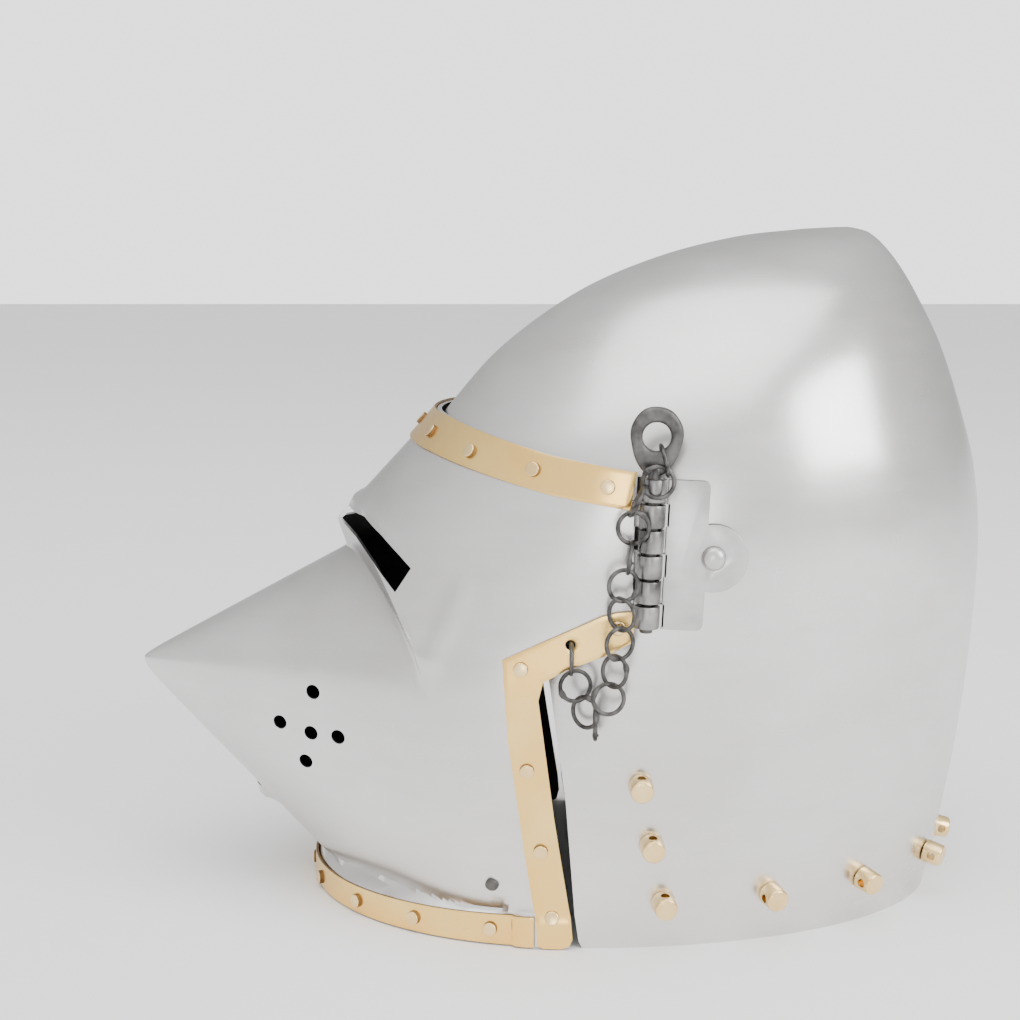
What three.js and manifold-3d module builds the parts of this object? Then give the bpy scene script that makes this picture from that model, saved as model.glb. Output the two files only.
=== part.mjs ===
// Hounskull bascinet: a pointed steel skull with a hinged "pig face" visor, brass edging and draw pins.
// Millimetres. +X is the wearer's left, -Y is forward, +Z is up. The rim stands on z = 0.
import * as THREE from 'three';
import { mergeVertices } from 'three/addons/utils/BufferGeometryUtils.js';
import Module from 'manifold-3d';

const wasm = await Module();
wasm.setup();

// Plate and fit sizes
const STEEL_THICK = 1.5;
const BRASS_THICK = 1.2;
const GAP = 0.3;
const CENTRE_Y = 1.5;
const BRASS_GAP = 0.4;
const FACET_TOLERANCE = 0.12;
const CHAIN_TOLERANCE = 0.2;

// Skull: tilted egg sections from the rim to the apex, each with its front and back on the middle plane
const SKULL_SECTIONS = [
  { front_y: -100, front_z: 0, back_y: 163.6, back_z: 0, wide_y: 8, half: 98.5 },
  { front_y: -98, front_z: 30, back_y: 170, back_z: 30, wide_y: 14, half: 100 },
  { front_y: -94, front_z: 70, back_y: 176.2, back_z: 68, wide_y: 26, half: 102 },
  { front_y: -86, front_z: 115, back_y: 180.5, back_z: 110, wide_y: 42, half: 103.3 },
  { front_y: -73, front_z: 163, back_y: 182.1, back_z: 152, wide_y: 56, half: 103.5 },
  { front_y: -59, front_z: 195, back_y: 179.2, back_z: 184, wide_y: 62, half: 101 },
  { front_y: -45, front_z: 215, back_y: 172.8, back_z: 209, wide_y: 68, half: 95 },
  { front_y: -24, front_z: 237.5, back_y: 163.2, back_z: 237, wide_y: 76, half: 82 },
  { front_y: 8, front_z: 260, back_y: 152.4, back_z: 259, wide_y: 88, half: 62 },
  { front_y: 42, front_z: 274.6, back_y: 144.6, back_z: 272, wide_y: 100, half: 41.5 },
  { front_y: 75, front_z: 283, back_y: 137.6, back_z: 280.6, wide_y: 111, half: 23.5 },
  { front_y: 102, front_z: 286.2, back_y: 132.4, back_z: 285, wide_y: 120, half: 10 },
];
const APEX = { y: 123, z: 287.2 };
const FACE_OPENING = [
  { y: 9, z: -5 }, { y: 5, z: 3 }, { y: 3.4, z: 14 }, { y: -0.4, z: 61 }, { y: -6, z: 102 },
  { y: -9, z: 122 }, { y: -16, z: 145 }, { y: -30, z: 164 }, { y: -48, z: 177 }, { y: -68, z: 184 },
  { y: -130, z: 188 }, { y: -130, z: -5 },
];

// Visor wall: level sections of the face, cheeks and ears
const FACE_SECTIONS = [
  { z: 0, front_y: -84, mid_y: 2, half: 97 },
  { z: 40, front_y: -98, mid_y: 8, half: 98.5 },
  { z: 80, front_y: -124, mid_y: 14, half: 101.5 },
  { z: 113, front_y: -139.6, mid_y: 18, half: 104 },
  { z: 140, front_y: -116.1, mid_y: 20, half: 105.5 },
  { z: 160, front_y: -98.7, mid_y: 22, half: 106.2 },
  { z: 180, front_y: -80.4, mid_y: 25, half: 106 },
  { z: 197, front_y: -64.8, mid_y: 28, half: 105.2 },
  { z: 213, front_y: -50.9, mid_y: 31, half: 104 },
];

// Snout: a pointed cone with a blunt tip
const SNOUT = {
  tip_y: -190.2, tip_z: 97, blunt: 4.2, up: 0.528, down: 1, side: 0.71,
  cheek: 103, cheek_blend: 16, full_up: 2.2, full_down: 2.2,
};

// Wall under the eye ridge: two planes meeting on the middle plane
const RIDGE = { y: -98.8, z: 160, back_per_drop: 0.34, back_per_side: 0.27 };

// Throat collar at the foot of the visor
const COLLAR = { front_y: -108.5, mid_y: 0, half: 97, top_z: 9 };
const CHEEK_BLEND = 9;
const VALLEY_BLEND = 2;

// Visor openings, in side view
const EYE_SLOT = [
  { y: -91.6, z: 167 }, { y: -100, z: 161.6 }, { y: -69.6, z: 140.6 }, { y: -62.4, z: 149.6 },
];
const EYE_BRIDGE = 2.5;
const BREATHS = [
  { y: -105.5, z: 92.5 }, { y: -119.7, z: 79.6 }, { y: -107, z: 74.8 }, { y: -95.8, z: 73 },
  { y: -109.4, z: 62.4 },
];
const BREATH_RADIUS = 3;
const MOUTH = { y: -137.5, z: 40.5, height: 4.5, half: 17 };

// Visor outline in side view: upper edge, ear, lower rear edge
const BROW_TOP = [
  { y: -70, z: 209.3 }, { y: -55.8, z: 209.3 }, { y: -47, z: 208.8 }, { y: -34, z: 205.8 },
  { y: -6.8, z: 199.3 }, { y: 25, z: 193.9 },
];
const BROW_LOW = [
  { y: -80, z: 196.6 }, { y: -66, z: 196.6 }, { y: -54, z: 194.9 }, { y: -34, z: 190.5 },
  { y: -6.8, z: 184.2 }, { y: 25, z: 178.9 },
];
const EAR_Y = 25;
const TRIM_UPPER = [{ y: -25.4, z: 119.6 }, { y: 13, z: 137.6 }, { y: 19, z: 139.2 }, { y: 25.2, z: 139.6 }];
const TRIM_LOWER = [
  { y: 25.2, z: 127.6 }, { y: 14.4, z: 122 }, { y: -2.8, z: 115.4 }, { y: -8.2, z: 112.6 },
  { y: -11, z: 109.2 }, { y: -11.4, z: 104 }, { y: -5, z: 55.5 }, { y: 1.8, z: 13 }, { y: 2.5, z: 4.6 },
  { y: 1.2, z: 1.6 }, { y: -1.8, z: 0.5 },
];
const TRIM_FRONT = [
  { y: -9, z: 0.5 }, { y: -11.2, z: 1.4 }, { y: -12.2, z: 13 }, { y: -16.2, z: 38 }, { y: -23.2, z: 87 },
];
const THROAT_TOP = [{ y: -125, z: 11.4 }, { y: -60, z: 12.6 }, { y: -12.9, z: 13.4 }];
const THROAT_FOOT = 0.6;

// Rivets on the brass, in side view
const RIVET = { radius: 2.7, rise: 1.5 };
const THROAT_RIVET_LIFT = 0.7;
const BROW_RIVETS = [
  { y: -61, z: 203 }, { y: -54, z: 201.6 }, { y: -37.2, z: 198.8 }, { y: -12.7, z: 193.4 },
  { y: 16, z: 187.8 },
];
const TRIM_RIVETS = [
  { y: -18.2, z: 114.4 }, { y: 19.4, z: 132.6 }, { y: -15.8, z: 73.9 }, { y: -10.1, z: 41 },
  { y: -5.6, z: 12.6 },
];
const THROAT_RIVETS = [
  { y: -110, z: 4.4 }, { y: -103.9, z: 4.8 }, { y: -86, z: 5.8 }, { y: -61.3, z: 6.4 }, { y: -30.2, z: 6.8 },
];
const SCREW = { y: -29.7, z: 25.6, radius: 2.6, rise: 1.4 };
const CHAIN_HOLE = { y: 0.9, z: 126.4, radius: 2 };

// Vervelles: drilled posts, a short upright row by the face opening and a row round the rim
const VERVELLES = [
  { y: 29.1, z: 68.6, upright: 1 }, { y: 33.7, z: 43.8, upright: 1 }, { y: 38.8, z: 19.2, upright: 1 },
  { y: 83, z: 19.6, upright: 0 }, { y: 124, z: 19.4, upright: 0 }, { y: 157.5, z: 19.6, upright: 0 },
];
const VERVELLE_BACK = { y: 171, z: 20.2 };
const VERVELLE = { foot: 4.9, head: 4.5, height: 8, bore: 1.7 };

// Side hinges
const PIVOT = { y: 56, z: 160.3 };
const HINGE_LEAN = -2.6;
const BARREL = { x: 108.3, y: 31.2, radius: 5, bottom: 132, pitch: 9.85, knuckles: 6, bore: 3.2 };
const SKULL_LEAF = {
  inner: 103.85, thick: 2, front: 37, back: 53.2,
  bottom: 131.6, top: 190.2, tab: 13.3, bore: 3.35,
};
const VISOR_LEAF = {
  front_y: 9.5, front_x: 99.8, back_y: 24.5, back_x: 101.6,
  thick: 1.4, bottom: 133.2, top: 189.4,
};
const PIVOT_RIVET = { shank: 3, head: 4.6, rise: 2.9, inner_head: 5, inner_thick: 1.4 };

// Draw pin: round shank with a flat pear-shaped eye
const PIN = { radius: 2.5, bottom: 130.6, neck: 193, flat: 4.2 };
const PIN_EYE = [
  { z: 191.5, half: 2.6 }, { z: 194.6, half: 4.2 }, { z: 198, half: 7.4 }, { z: 202, half: 9.6 },
  { z: 207, half: 10.2 }, { z: 212, half: 9 }, { z: 216, half: 6 }, { z: 218.4, half: 2.4 },
];
const PIN_HOLE = [
  { z: 201, half: 2.4 }, { z: 203, half: 4.2 }, { z: 207, half: 5.4 }, { z: 210.6, half: 4.2 },
  { z: 212.6, half: 2 },
];

// Chain rings: where each ring hangs, and the way its flat side faces
const RING = { radius: 6.05, wire: 0.85, bear: 0.75, sides: 10, wire_sides: 5 };
const LOWEST_RING = 10;
const CHAIN = [
  { x: 109.6, y: 36.3, z: 198.9, turn: 90, nod: 14 },
  { x: 116.8, y: 32.2, z: 187, turn: 5, nod: 0 },
  { x: 117.2, y: 18.4, z: 178, turn: 88, nod: -27 },
  { x: 115.4, y: 23.6, z: 169.4, turn: 10, nod: 0 },
  { x: 115.4, y: 22.8, z: 158.8, turn: 85, nod: -8 },
  { x: 115.4, y: 20, z: 148.4, turn: 20, nod: 0 },
  { x: 115.2, y: 20, z: 137.4, turn: -40, nod: 0 },
  { x: 114.8, y: 19.4, z: 126.6, turn: 30, nod: 0 },
  { x: 114.2, y: 17.4, z: 116, turn: -45, nod: 8 },
  { x: 113.6, y: 15.2, z: 105.4, turn: 10, nod: 0 },
  { x: 111.5, y: 10.5, z: 96.5, turn: 88, nod: 0 },
  { x: 108.8, y: 6.4, z: 101.2, turn: -40, nod: 0 },
  { x: 108.4, y: 2.8, z: 111, turn: 12, nod: 0 },
  { x: 106.2, y: 1.2, z: 121, turn: 90, nod: 0 },
];

// Finishes
const STEEL = { color: 0xcfccc8, roughness: 0.32, metalness: 1 };
const BRASS = { color: 0xf0d7a4, roughness: 0.3, metalness: 1 };
const IRON = { color: 0x6a6764, roughness: 0.6, metalness: 0.9 };

// Smooth reading of one column of a table at a place given in rows
function along(rows, key, place) {
  const last = rows.length - 1;
  const i = Math.min(Math.max(Math.floor(place), 0), last - 1);
  const t = place - i;
  const value = (k) => rows[Math.min(Math.max(k, 0), last)][key];
  const a = value(i);
  const b = value(i + 1);
  const slope0 = i === 0 ? b - a : (b - value(i - 1)) / 2;
  const slope1 = i + 1 === last ? b - a : (value(i + 2) - a) / 2;
  const t2 = t * t;
  const t3 = t2 * t;
  return a * (2 * t3 - 3 * t2 + 1) + slope0 * (t3 - 2 * t2 + t) + b * (3 * t2 - 2 * t3) + slope1 * (t3 - t2);
}

// Smooth reading of one column at a height, for rows listed by z
function atHeight(rows, key, z) {
  const last = rows.length - 1;
  let i = 0;
  while (i < last - 1 && rows[i + 1].z < z) {
    i += 1;
  }
  const rise = rows[i + 1].z - rows[i].z;
  const slope = (k) => {
    const lo = Math.max(k - 1, 0);
    const hi = Math.min(k + 1, last);
    return (rows[hi][key] - rows[lo][key]) / (rows[hi].z - rows[lo].z);
  };
  const t = (z - rows[i].z) / rise;
  const t2 = t * t;
  const t3 = t2 * t;
  const ends = rows[i][key] * (2 * t3 - 3 * t2 + 1) + rows[i + 1][key] * (3 * t2 - 2 * t3);
  return ends + rise * (slope(i) * (t3 - 2 * t2 + t) + slope(i + 1) * (t3 - t2));
}

function softMax(a, b, blend) {
  const near = Math.max(blend - Math.abs(a - b), 0) / blend;
  return Math.max(a, b) + near * near * blend * 0.25;
}

function softMin(a, b, blend) {
  return -softMax(-a, -b, blend);
}

// Skull outer surface: place counts the sections up from the rim, angle turns from the front
function skullPoint(place, angle) {
  const front = { y: along(SKULL_SECTIONS, 'front_y', place), z: along(SKULL_SECTIONS, 'front_z', place) };
  const back = { y: along(SKULL_SECTIONS, 'back_y', place), z: along(SKULL_SECTIONS, 'back_z', place) };
  const wide = along(SKULL_SECTIONS, 'wide_y', place);
  const share = (wide - front.y) / (back.y - front.y);
  const mid = { y: wide, z: front.z + share * (back.z - front.z) };
  const c = Math.cos(angle);
  const end = c > 0 ? front : back;
  const reach = Math.abs(c);
  return new THREE.Vector3(
    along(SKULL_SECTIONS, 'half', place) * Math.sin(angle),
    mid.y + reach * (end.y - mid.y),
    mid.z + reach * (end.z - mid.z),
  );
}

function skullNormal(place, angle) {
  const step = 0.01;
  const last = SKULL_SECTIONS.length - 1;
  const low = Math.max(place - step, 0);
  const high = Math.min(place + step, last);
  const round = skullPoint(place, angle + step).sub(skullPoint(place, angle - step));
  const up = skullPoint(high, angle).sub(skullPoint(low, angle));
  return round.cross(up).normalize();
}

// Point and normal on the left of the skull at a place in side view
function onSkull(y, z) {
  let low = 0;
  let high = SKULL_SECTIONS.length - 1;
  let angle = 0;
  for (let n = 0; n < 40; n += 1) {
    const place = (low + high) / 2;
    const mid = skullPoint(place, Math.PI / 2).y;
    const end = y < mid ? skullPoint(place, 0).y : skullPoint(place, Math.PI).y;
    const reach = Math.min(Math.abs((y - mid) / (end - mid)), 1);
    angle = y < mid ? Math.acos(reach) : Math.PI - Math.acos(reach);
    if (skullPoint(place, angle).z < z) {
      low = place;
    } else {
      high = place;
    }
  }
  const place = (low + high) / 2;
  return { point: skullPoint(place, angle), normal: skullNormal(place, angle) };
}

// Reach of the snout from the visor's middle line
function snoutReach(angle, z) {
  const mid = atHeight(FACE_SECTIONS, 'mid_y', z);
  const s = Math.abs(Math.sin(angle));
  const c = Math.cos(angle);
  const h = z - SNOUT.tip_z;
  const slope = h > 0 ? SNOUT.up : SNOUT.down;
  const full = h > 0 ? SNOUT.full_up : SNOUT.full_down;
  const outside = (r) => {
    const q = mid - r * c - SNOUT.tip_y;
    if (q <= 0.01) {
      return true;
    }
    const half = softMin(SNOUT.side * q, SNOUT.cheek, SNOUT.cheek_blend);
    const share = ((r * s) / half) ** full + (Math.abs(h) / (slope * q)) ** full;
    return Math.hypot(q * share ** (1 / full), SNOUT.blunt) > q;
  };
  if (outside(0)) {
    return 0;
  }
  let low = 0;
  let high = 260;
  for (let n = 0; n < 40; n += 1) {
    const r = (low + high) / 2;
    if (outside(r)) {
      high = r;
    } else {
      low = r;
    }
  }
  return low;
}

function wallReach(angle, z) {
  const length = atHeight(FACE_SECTIONS, 'mid_y', z) - atHeight(FACE_SECTIONS, 'front_y', z);
  const half = atHeight(FACE_SECTIONS, 'half', z);
  const long = Math.cos(angle) > 0 ? length : 130;
  return 1 / Math.hypot(Math.sin(angle) / half, Math.cos(angle) / long);
}

function ridgeReach(angle, z) {
  const mid = atHeight(FACE_SECTIONS, 'mid_y', z);
  const foot = RIDGE.y + RIDGE.back_per_drop * (RIDGE.z - z);
  const lean = Math.cos(angle) + RIDGE.back_per_side * Math.abs(Math.sin(angle));
  return (mid - foot) / Math.max(lean, 0.05);
}

function collarReach(angle, z) {
  const over = softMax(z - COLLAR.top_z, 0, 6) * 1.4;
  const length = COLLAR.mid_y - COLLAR.front_y - over;
  const half = COLLAR.half - over;
  const shift = atHeight(FACE_SECTIONS, 'mid_y', z) - COLLAR.mid_y;
  if (length < 20 || half < 20) {
    return 0;
  }
  const s = Math.sin(angle) / half;
  const c = Math.cos(angle) / length;
  const a = s * s + c * c;
  const b = -c * (shift / length);
  const k = (shift / length) ** 2 - 1;
  return (-b + Math.sqrt(Math.max(b * b - a * k, 0))) / a;
}

function visorReach(angle, z) {
  const snout = softMax(snoutReach(angle, z), collarReach(angle, z), 3);
  const cheek = softMax(snout, wallReach(angle, z), CHEEK_BLEND);
  const valley = softMax(snout, ridgeReach(angle, z), VALLEY_BLEND);
  return Math.min(cheek, valley);
}

function visorPoint(angle, z) {
  const reach = visorReach(angle, z);
  const mid = atHeight(FACE_SECTIONS, 'mid_y', z);
  return new THREE.Vector3(reach * Math.sin(angle), mid - reach * Math.cos(angle), z);
}

function visorNormal(angle, z) {
  const turn = 0.006;
  const rise = 0.6;
  const round = visorPoint(angle + turn, z).sub(visorPoint(angle - turn, z));
  const up = visorPoint(angle, z + rise).sub(visorPoint(angle, z - rise));
  return round.cross(up).normalize();
}

// Point and normal on the left of the visor at a place in side view
function onVisor(y, z) {
  let low = 0;
  let high = 1.7;
  for (let n = 0; n < 40; n += 1) {
    const angle = (low + high) / 2;
    if (visorPoint(angle, z).y < y) {
      low = angle;
    } else {
      high = angle;
    }
  }
  const angle = low < 0.002 ? 0 : low;
  return { point: visorPoint(angle, z), normal: visorNormal(angle, z) };
}

// Height of the eye ridge's edge and of the valley under it, at each angle
function ridgeEdge(angle) {
  let low = 112;
  let high = 176;
  for (let n = 0; n < 40; n += 1) {
    const z = (low + high) / 2;
    if (wallReach(angle, z) > ridgeReach(angle, z)) {
      low = z;
    } else {
      high = z;
    }
  }
  return low;
}

function ridgeValley(angle) {
  let low = 60;
  let high = 170;
  for (let n = 0; n < 40; n += 1) {
    const z = (low + high) / 2;
    if (snoutReach(angle, z) > ridgeReach(angle, z)) {
      low = z;
    } else {
      high = z;
    }
  }
  return low;
}

// Solids from points and triangles, and back to meshes
function solidFrom(points, triangles) {
  const vertProperties = new Float32Array(points.length * 3);
  points.forEach((p, i) => vertProperties.set([p.x, p.y, p.z], i * 3));
  const mesh = new wasm.Mesh({ numProp: 3, vertProperties, triVerts: new Uint32Array(triangles) });
  return new wasm.Manifold(mesh);
}

function solidOf(geometry) {
  geometry.deleteAttribute('normal');
  geometry.deleteAttribute('uv');
  const welded = mergeVertices(geometry, 0.0001);
  const place = welded.attributes.position;
  const points = [];
  for (let i = 0; i < place.count; i += 1) {
    points.push(new THREE.Vector3().fromBufferAttribute(place, i));
  }
  return solidFrom(points, welded.index.array);
}

const helmet = new THREE.Group();
helmet.name = 'hounskull_bascinet';

function addPiece(name, solid, finish, tolerance = FACET_TOLERANCE) {
  const centred = solid.translate([0, CENTRE_Y, 0]).asOriginal().simplify(tolerance);
  const { vertProperties, triVerts } = centred.getMesh();
  const geometry = new THREE.BufferGeometry();
  geometry.setAttribute('position', new THREE.BufferAttribute(new Float32Array(vertProperties), 3));
  geometry.setIndex(new THREE.BufferAttribute(new Uint32Array(triVerts), 1));
  geometry.computeVertexNormals();
  const mesh = new THREE.Mesh(geometry, new THREE.MeshStandardMaterial(finish));
  mesh.name = name;
  helmet.add(mesh);
}

// Closed plate between an outer and an inner grid of points
function plateFrom(outer, inner, round) {
  const rows = outer.length;
  const columns = outer[0].length;
  const points = [...outer.flat(), ...inner.flat()];
  const layer = rows * columns;
  const triangles = [];
  const at = (i, j, deep) => deep * layer + i * columns + (j % columns);
  const quad = (a, b, c, d) => triangles.push(a, b, c, a, c, d);
  const across = round ? columns : columns - 1;
  for (let i = 0; i < rows - 1; i += 1) {
    for (let j = 0; j < across; j += 1) {
      const outside = [at(i, j, 0), at(i, j + 1, 0), at(i + 1, j + 1, 0), at(i + 1, j, 0)];
      const inside = [at(i, j, 1), at(i + 1, j, 1), at(i + 1, j + 1, 1), at(i, j + 1, 1)];
      if (j < across / 2) {
        quad(outside[1], outside[2], outside[3], outside[0]);
        quad(inside[1], inside[2], inside[3], inside[0]);
      } else {
        quad(...outside);
        quad(...inside);
      }
    }
    if (!round) {
      quad(at(i, 0, 0), at(i + 1, 0, 0), at(i + 1, 0, 1), at(i, 0, 1));
      quad(at(i + 1, across, 0), at(i, across, 0), at(i, across, 1), at(i + 1, across, 1));
    }
  }
  for (let j = 0; j < across; j += 1) {
    quad(at(0, j + 1, 0), at(0, j, 0), at(0, j, 1), at(0, j + 1, 1));
    if (!round) {
      quad(at(rows - 1, j, 0), at(rows - 1, j + 1, 0), at(rows - 1, j + 1, 1), at(rows - 1, j, 1));
    }
  }
  if (round) {
    const tops = [0, 1].map((deep) => {
      points.push(new THREE.Vector3(0, APEX.y, APEX.z - deep * STEEL_THICK * 1.2));
      return points.length - 1;
    });
    for (let j = 0; j < across; j += 1) {
      triangles.push(at(rows - 1, j, 0), at(rows - 1, j + 1, 0), tops[0]);
      triangles.push(at(rows - 1, j + 1, 1), at(rows - 1, j, 1), tops[1]);
    }
  }
  return solidFrom(points, triangles);
}

// Straight-sided block with an outline in side view, reaching from one x to another
function sideBlock(outline, x0, x1) {
  const shape = new THREE.Shape(outline.map((p) => new THREE.Vector2(p.y, p.z)));
  const geometry = new THREE.ExtrudeGeometry(shape, { depth: x1 - x0, bevelEnabled: false });
  const turn = new THREE.Matrix4().makeBasis(
    new THREE.Vector3(0, 1, 0), new THREE.Vector3(0, 0, 1), new THREE.Vector3(1, 0, 0),
  );
  geometry.applyMatrix4(turn);
  geometry.translate(x0, 0, 0);
  return solidOf(geometry);
}

function disc(y, z, radius, sides) {
  const ring = [];
  for (let i = 0; i < sides; i += 1) {
    const angle = ((i + 0.5) * 2 * Math.PI) / sides;
    ring.push({ y: y + radius * Math.cos(angle), z: z + radius * Math.sin(angle) });
  }
  return ring;
}

// Turned piece standing on a point, its axis along a direction
function turned(profile, sides, foot, axis) {
  const geometry = new THREE.LatheGeometry(profile.map((p) => new THREE.Vector2(p.r, p.h)), sides);
  const spin = new THREE.Quaternion().setFromUnitVectors(new THREE.Vector3(0, 1, 0), axis);
  geometry.applyQuaternion(spin);
  geometry.translate(foot.x, foot.y, foot.z);
  return solidOf(geometry);
}

function mirrored(solid) {
  return solid.mirror([1, 0, 0]);
}

const LEFT = new THREE.Vector3(1, 0, 0);
const SIDES = [['left', (solid) => solid], ['right', mirrored]];

// Skull: beaten steel bowl, cut away for the face
const skullAngles = [];
for (let j = 0; j < 26; j += 1) {
  skullAngles.push((j * 2 * Math.PI) / 26);
}
const skullPlaces = [0, 1, 2, 3, 4, 4.7, 5.4, 6.1, 7, 8, 9, 10, 11];
const skullOuter = skullPlaces.map((u) => skullAngles.map((a) => skullPoint(u, a)));
const skullInner = skullPlaces.map((u) => skullAngles.map((a) => {
  const p = skullPoint(u, a).addScaledVector(skullNormal(u, a), -STEEL_THICK);
  p.z = u === 0 ? 0 : p.z;
  return p;
}));
let skull = plateFrom(skullOuter, skullInner, true);
skull = skull.subtract(sideBlock(FACE_OPENING, -140, 140));
skull = skull.subtract(sideBlock(disc(PIVOT.y, PIVOT.z, SKULL_LEAF.bore, 14), -140, 140));
addPiece('skull', skull, STEEL);

// Visor plate and the brass laid over it share one grid that follows the eye ridge
const HALF_ANGLES = [0, 2.5, 6, 11, 18, 25, 32, 39, 45, 51, 59, 69, 79, 89, 99];
const visorAngles = [
  ...HALF_ANGLES.slice(1).reverse().map((a) => (-a * Math.PI) / 180),
  ...HALF_ANGLES.map((a) => (a * Math.PI) / 180),
];
const LOWER_SHARES = [0, 0.045, 0.09, 0.19, 0.34, 0.5, 0.61, 0.665, 0.72, 0.84];
const UPPER_SHARES = [0.22, 0.48, 0.74, 1];
const VISOR_TOP = 213;
function visorHeights(angle) {
  const edge = ridgeEdge(Math.abs(angle));
  const valley = Math.min(ridgeValley(Math.abs(angle)), edge - 2.5);
  return [
    ...LOWER_SHARES.map((s) => s * valley),
    valley,
    edge,
    ...UPPER_SHARES.map((s) => edge + s * (VISOR_TOP - edge)),
  ];
}
const visorColumns = visorAngles.map((a) => visorHeights(a));
function visorLayer(off) {
  return visorColumns[0].map((unused, i) => visorAngles.map((a, j) => {
    const z = visorColumns[j][i];
    const p = visorPoint(a, z).addScaledVector(visorNormal(a, z), off);
    p.z = i === 0 ? Math.min(0, z) : p.z;
    return p;
  }));
}
const visorSkin = visorLayer(0);
const EAR = [{ y: EAR_Y, z: 193.8 }, { y: EAR_Y, z: 127.8 }];
const FLOOR_FRONT = [{ y: 1.2, z: 0.8 }, { y: -2, z: -1 }, { y: -220, z: -1 }, { y: -220, z: 209.3 }];
const TRIM_EDGE = TRIM_LOWER.slice(1, 9).map((p) => ({ y: p.y - 0.3, z: p.z + 0.2 }));
const VISOR_OUTLINE = [...BROW_TOP, EAR[1], ...TRIM_EDGE, ...FLOOR_FRONT];
let visor = plateFrom(visorSkin, visorLayer(-STEEL_THICK), false);
visor = visor.intersect(sideBlock(VISOR_OUTLINE, -140, 140));
visor = visor.subtract(sideBlock(EYE_SLOT, EYE_BRIDGE, 140));
visor = visor.subtract(sideBlock(EYE_SLOT, -140, -EYE_BRIDGE));
BREATHS.forEach((p) => {
  visor = visor.subtract(sideBlock(disc(p.y, p.z, BREATH_RADIUS, 8), -140, 140));
});
visor = visor.subtract(sideBlock(disc(CHAIN_HOLE.y, CHAIN_HOLE.z, CHAIN_HOLE.radius, 8), -140, 140));
const mouthOutline = [
  { y: MOUTH.y - 9, z: MOUTH.z + MOUTH.height / 2 }, { y: MOUTH.y - 9, z: MOUTH.z - MOUTH.height / 2 },
  { y: MOUTH.y + 9, z: MOUTH.z - MOUTH.height / 2 }, { y: MOUTH.y + 9, z: MOUTH.z + MOUTH.height / 2 },
];
visor = visor.subtract(sideBlock(mouthOutline, -MOUTH.half, MOUTH.half));
addPiece('visor', visor, STEEL);

// Brass edging: brow band, L-shaped trims and throat band
const brass = plateFrom(visorLayer(BRASS_GAP + BRASS_THICK), visorLayer(BRASS_GAP), false);
const browBand = brass.intersect(sideBlock([...BROW_TOP, ...BROW_LOW.slice().reverse()], -140, 140));
addPiece('brow_band', browBand, BRASS);
const throatOutline = [...THROAT_TOP, { y: -11.8, z: THROAT_FOOT }, { y: -125, z: THROAT_FOOT }];
addPiece('throat_band', brass.intersect(sideBlock(throatOutline, -140, 140)), BRASS);
const trimOutline = [...TRIM_UPPER, ...TRIM_LOWER, ...TRIM_FRONT];
let trim = brass.intersect(sideBlock(trimOutline, 40, 140));
trim = trim.subtract(sideBlock(disc(CHAIN_HOLE.y, CHAIN_HOLE.z, CHAIN_HOLE.radius, 8), 40, 140));
SIDES.forEach(([side, place]) => addPiece(`trim_${side}`, place(trim), BRASS));

// Rivets through the brass
const domeProfile = [{ r: 0, h: 0 }, { r: 1, h: 0 }, { r: 0.72, h: 0.66 }, { r: 0, h: 1 }];
function dome(radius, rise, foot, axis, sides) {
  return turned(domeProfile.map((p) => ({ r: p.r * radius, h: p.h * rise })), sides, foot, axis);
}
function rivetAt(spot, off, size) {
  const { point, normal } = onVisor(spot.y, spot.z);
  return dome(size.radius, size.rise, point.clone().addScaledVector(normal, off), normal, 7);
}
const ON_BRASS = BRASS_GAP + BRASS_THICK + GAP;
function addRivetRow(name, spots, off, hasMiddle) {
  let count = 1;
  spots.forEach((spot, i) => {
    const onMiddle = hasMiddle && i === 0;
    const rivet = rivetAt(onMiddle ? { y: -250, z: spot.z } : spot, off, RIVET);
    const copies = onMiddle ? [rivet] : [rivet, mirrored(rivet)];
    copies.forEach((solid) => {
      addPiece(`${name}_${count}`, solid, BRASS);
      count += 1;
    });
  });
}
addRivetRow('brow_rivet', BROW_RIVETS, ON_BRASS, true);
addRivetRow('trim_rivet', TRIM_RIVETS, ON_BRASS, false);
addRivetRow('throat_rivet', THROAT_RIVETS, ON_BRASS + THROAT_RIVET_LIFT, true);
const screw = rivetAt(SCREW, GAP, SCREW);
SIDES.forEach(([side, place]) => addPiece(`screw_${side}`, place(screw), IRON));

// Hinge leaves: knuckles alternate, the visor leaf lies inside the visor plate
function boxBlock(y0, y1, z0, z1, x0, x1) {
  return sideBlock([{ y: y0, z: z0 }, { y: y1, z: z0 }, { y: y1, z: z1 }, { y: y0, z: z1 }], x0, x1);
}
function upright(radius, y, x, z0, z1, sides) {
  const profile = [{ r: 0, h: 0 }, { r: radius, h: 0 }, { r: radius, h: z1 - z0 }, { r: 0, h: z1 - z0 }];
  return turned(profile, sides, new THREE.Vector3(x, y, z0), new THREE.Vector3(0, 0, 1));
}
function leanHinge(solid) {
  const back = solid.translate([0, -PIVOT.y, -PIVOT.z]);
  return back.rotate([HINGE_LEAN, 0, 0]).translate([0, PIVOT.y, PIVOT.z]);
}
function knuckle(n) {
  const foot = BARREL.bottom + n * BARREL.pitch + GAP / 2;
  const top = foot + BARREL.pitch - GAP;
  return { foot, top, solid: upright(BARREL.radius, BARREL.y, BARREL.x, foot, top, 8) };
}
const pinBore = upright(BARREL.bore, BARREL.y, BARREL.x, 120, 205, 6);
const leafOut = SKULL_LEAF.inner + SKULL_LEAF.thick;
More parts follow.
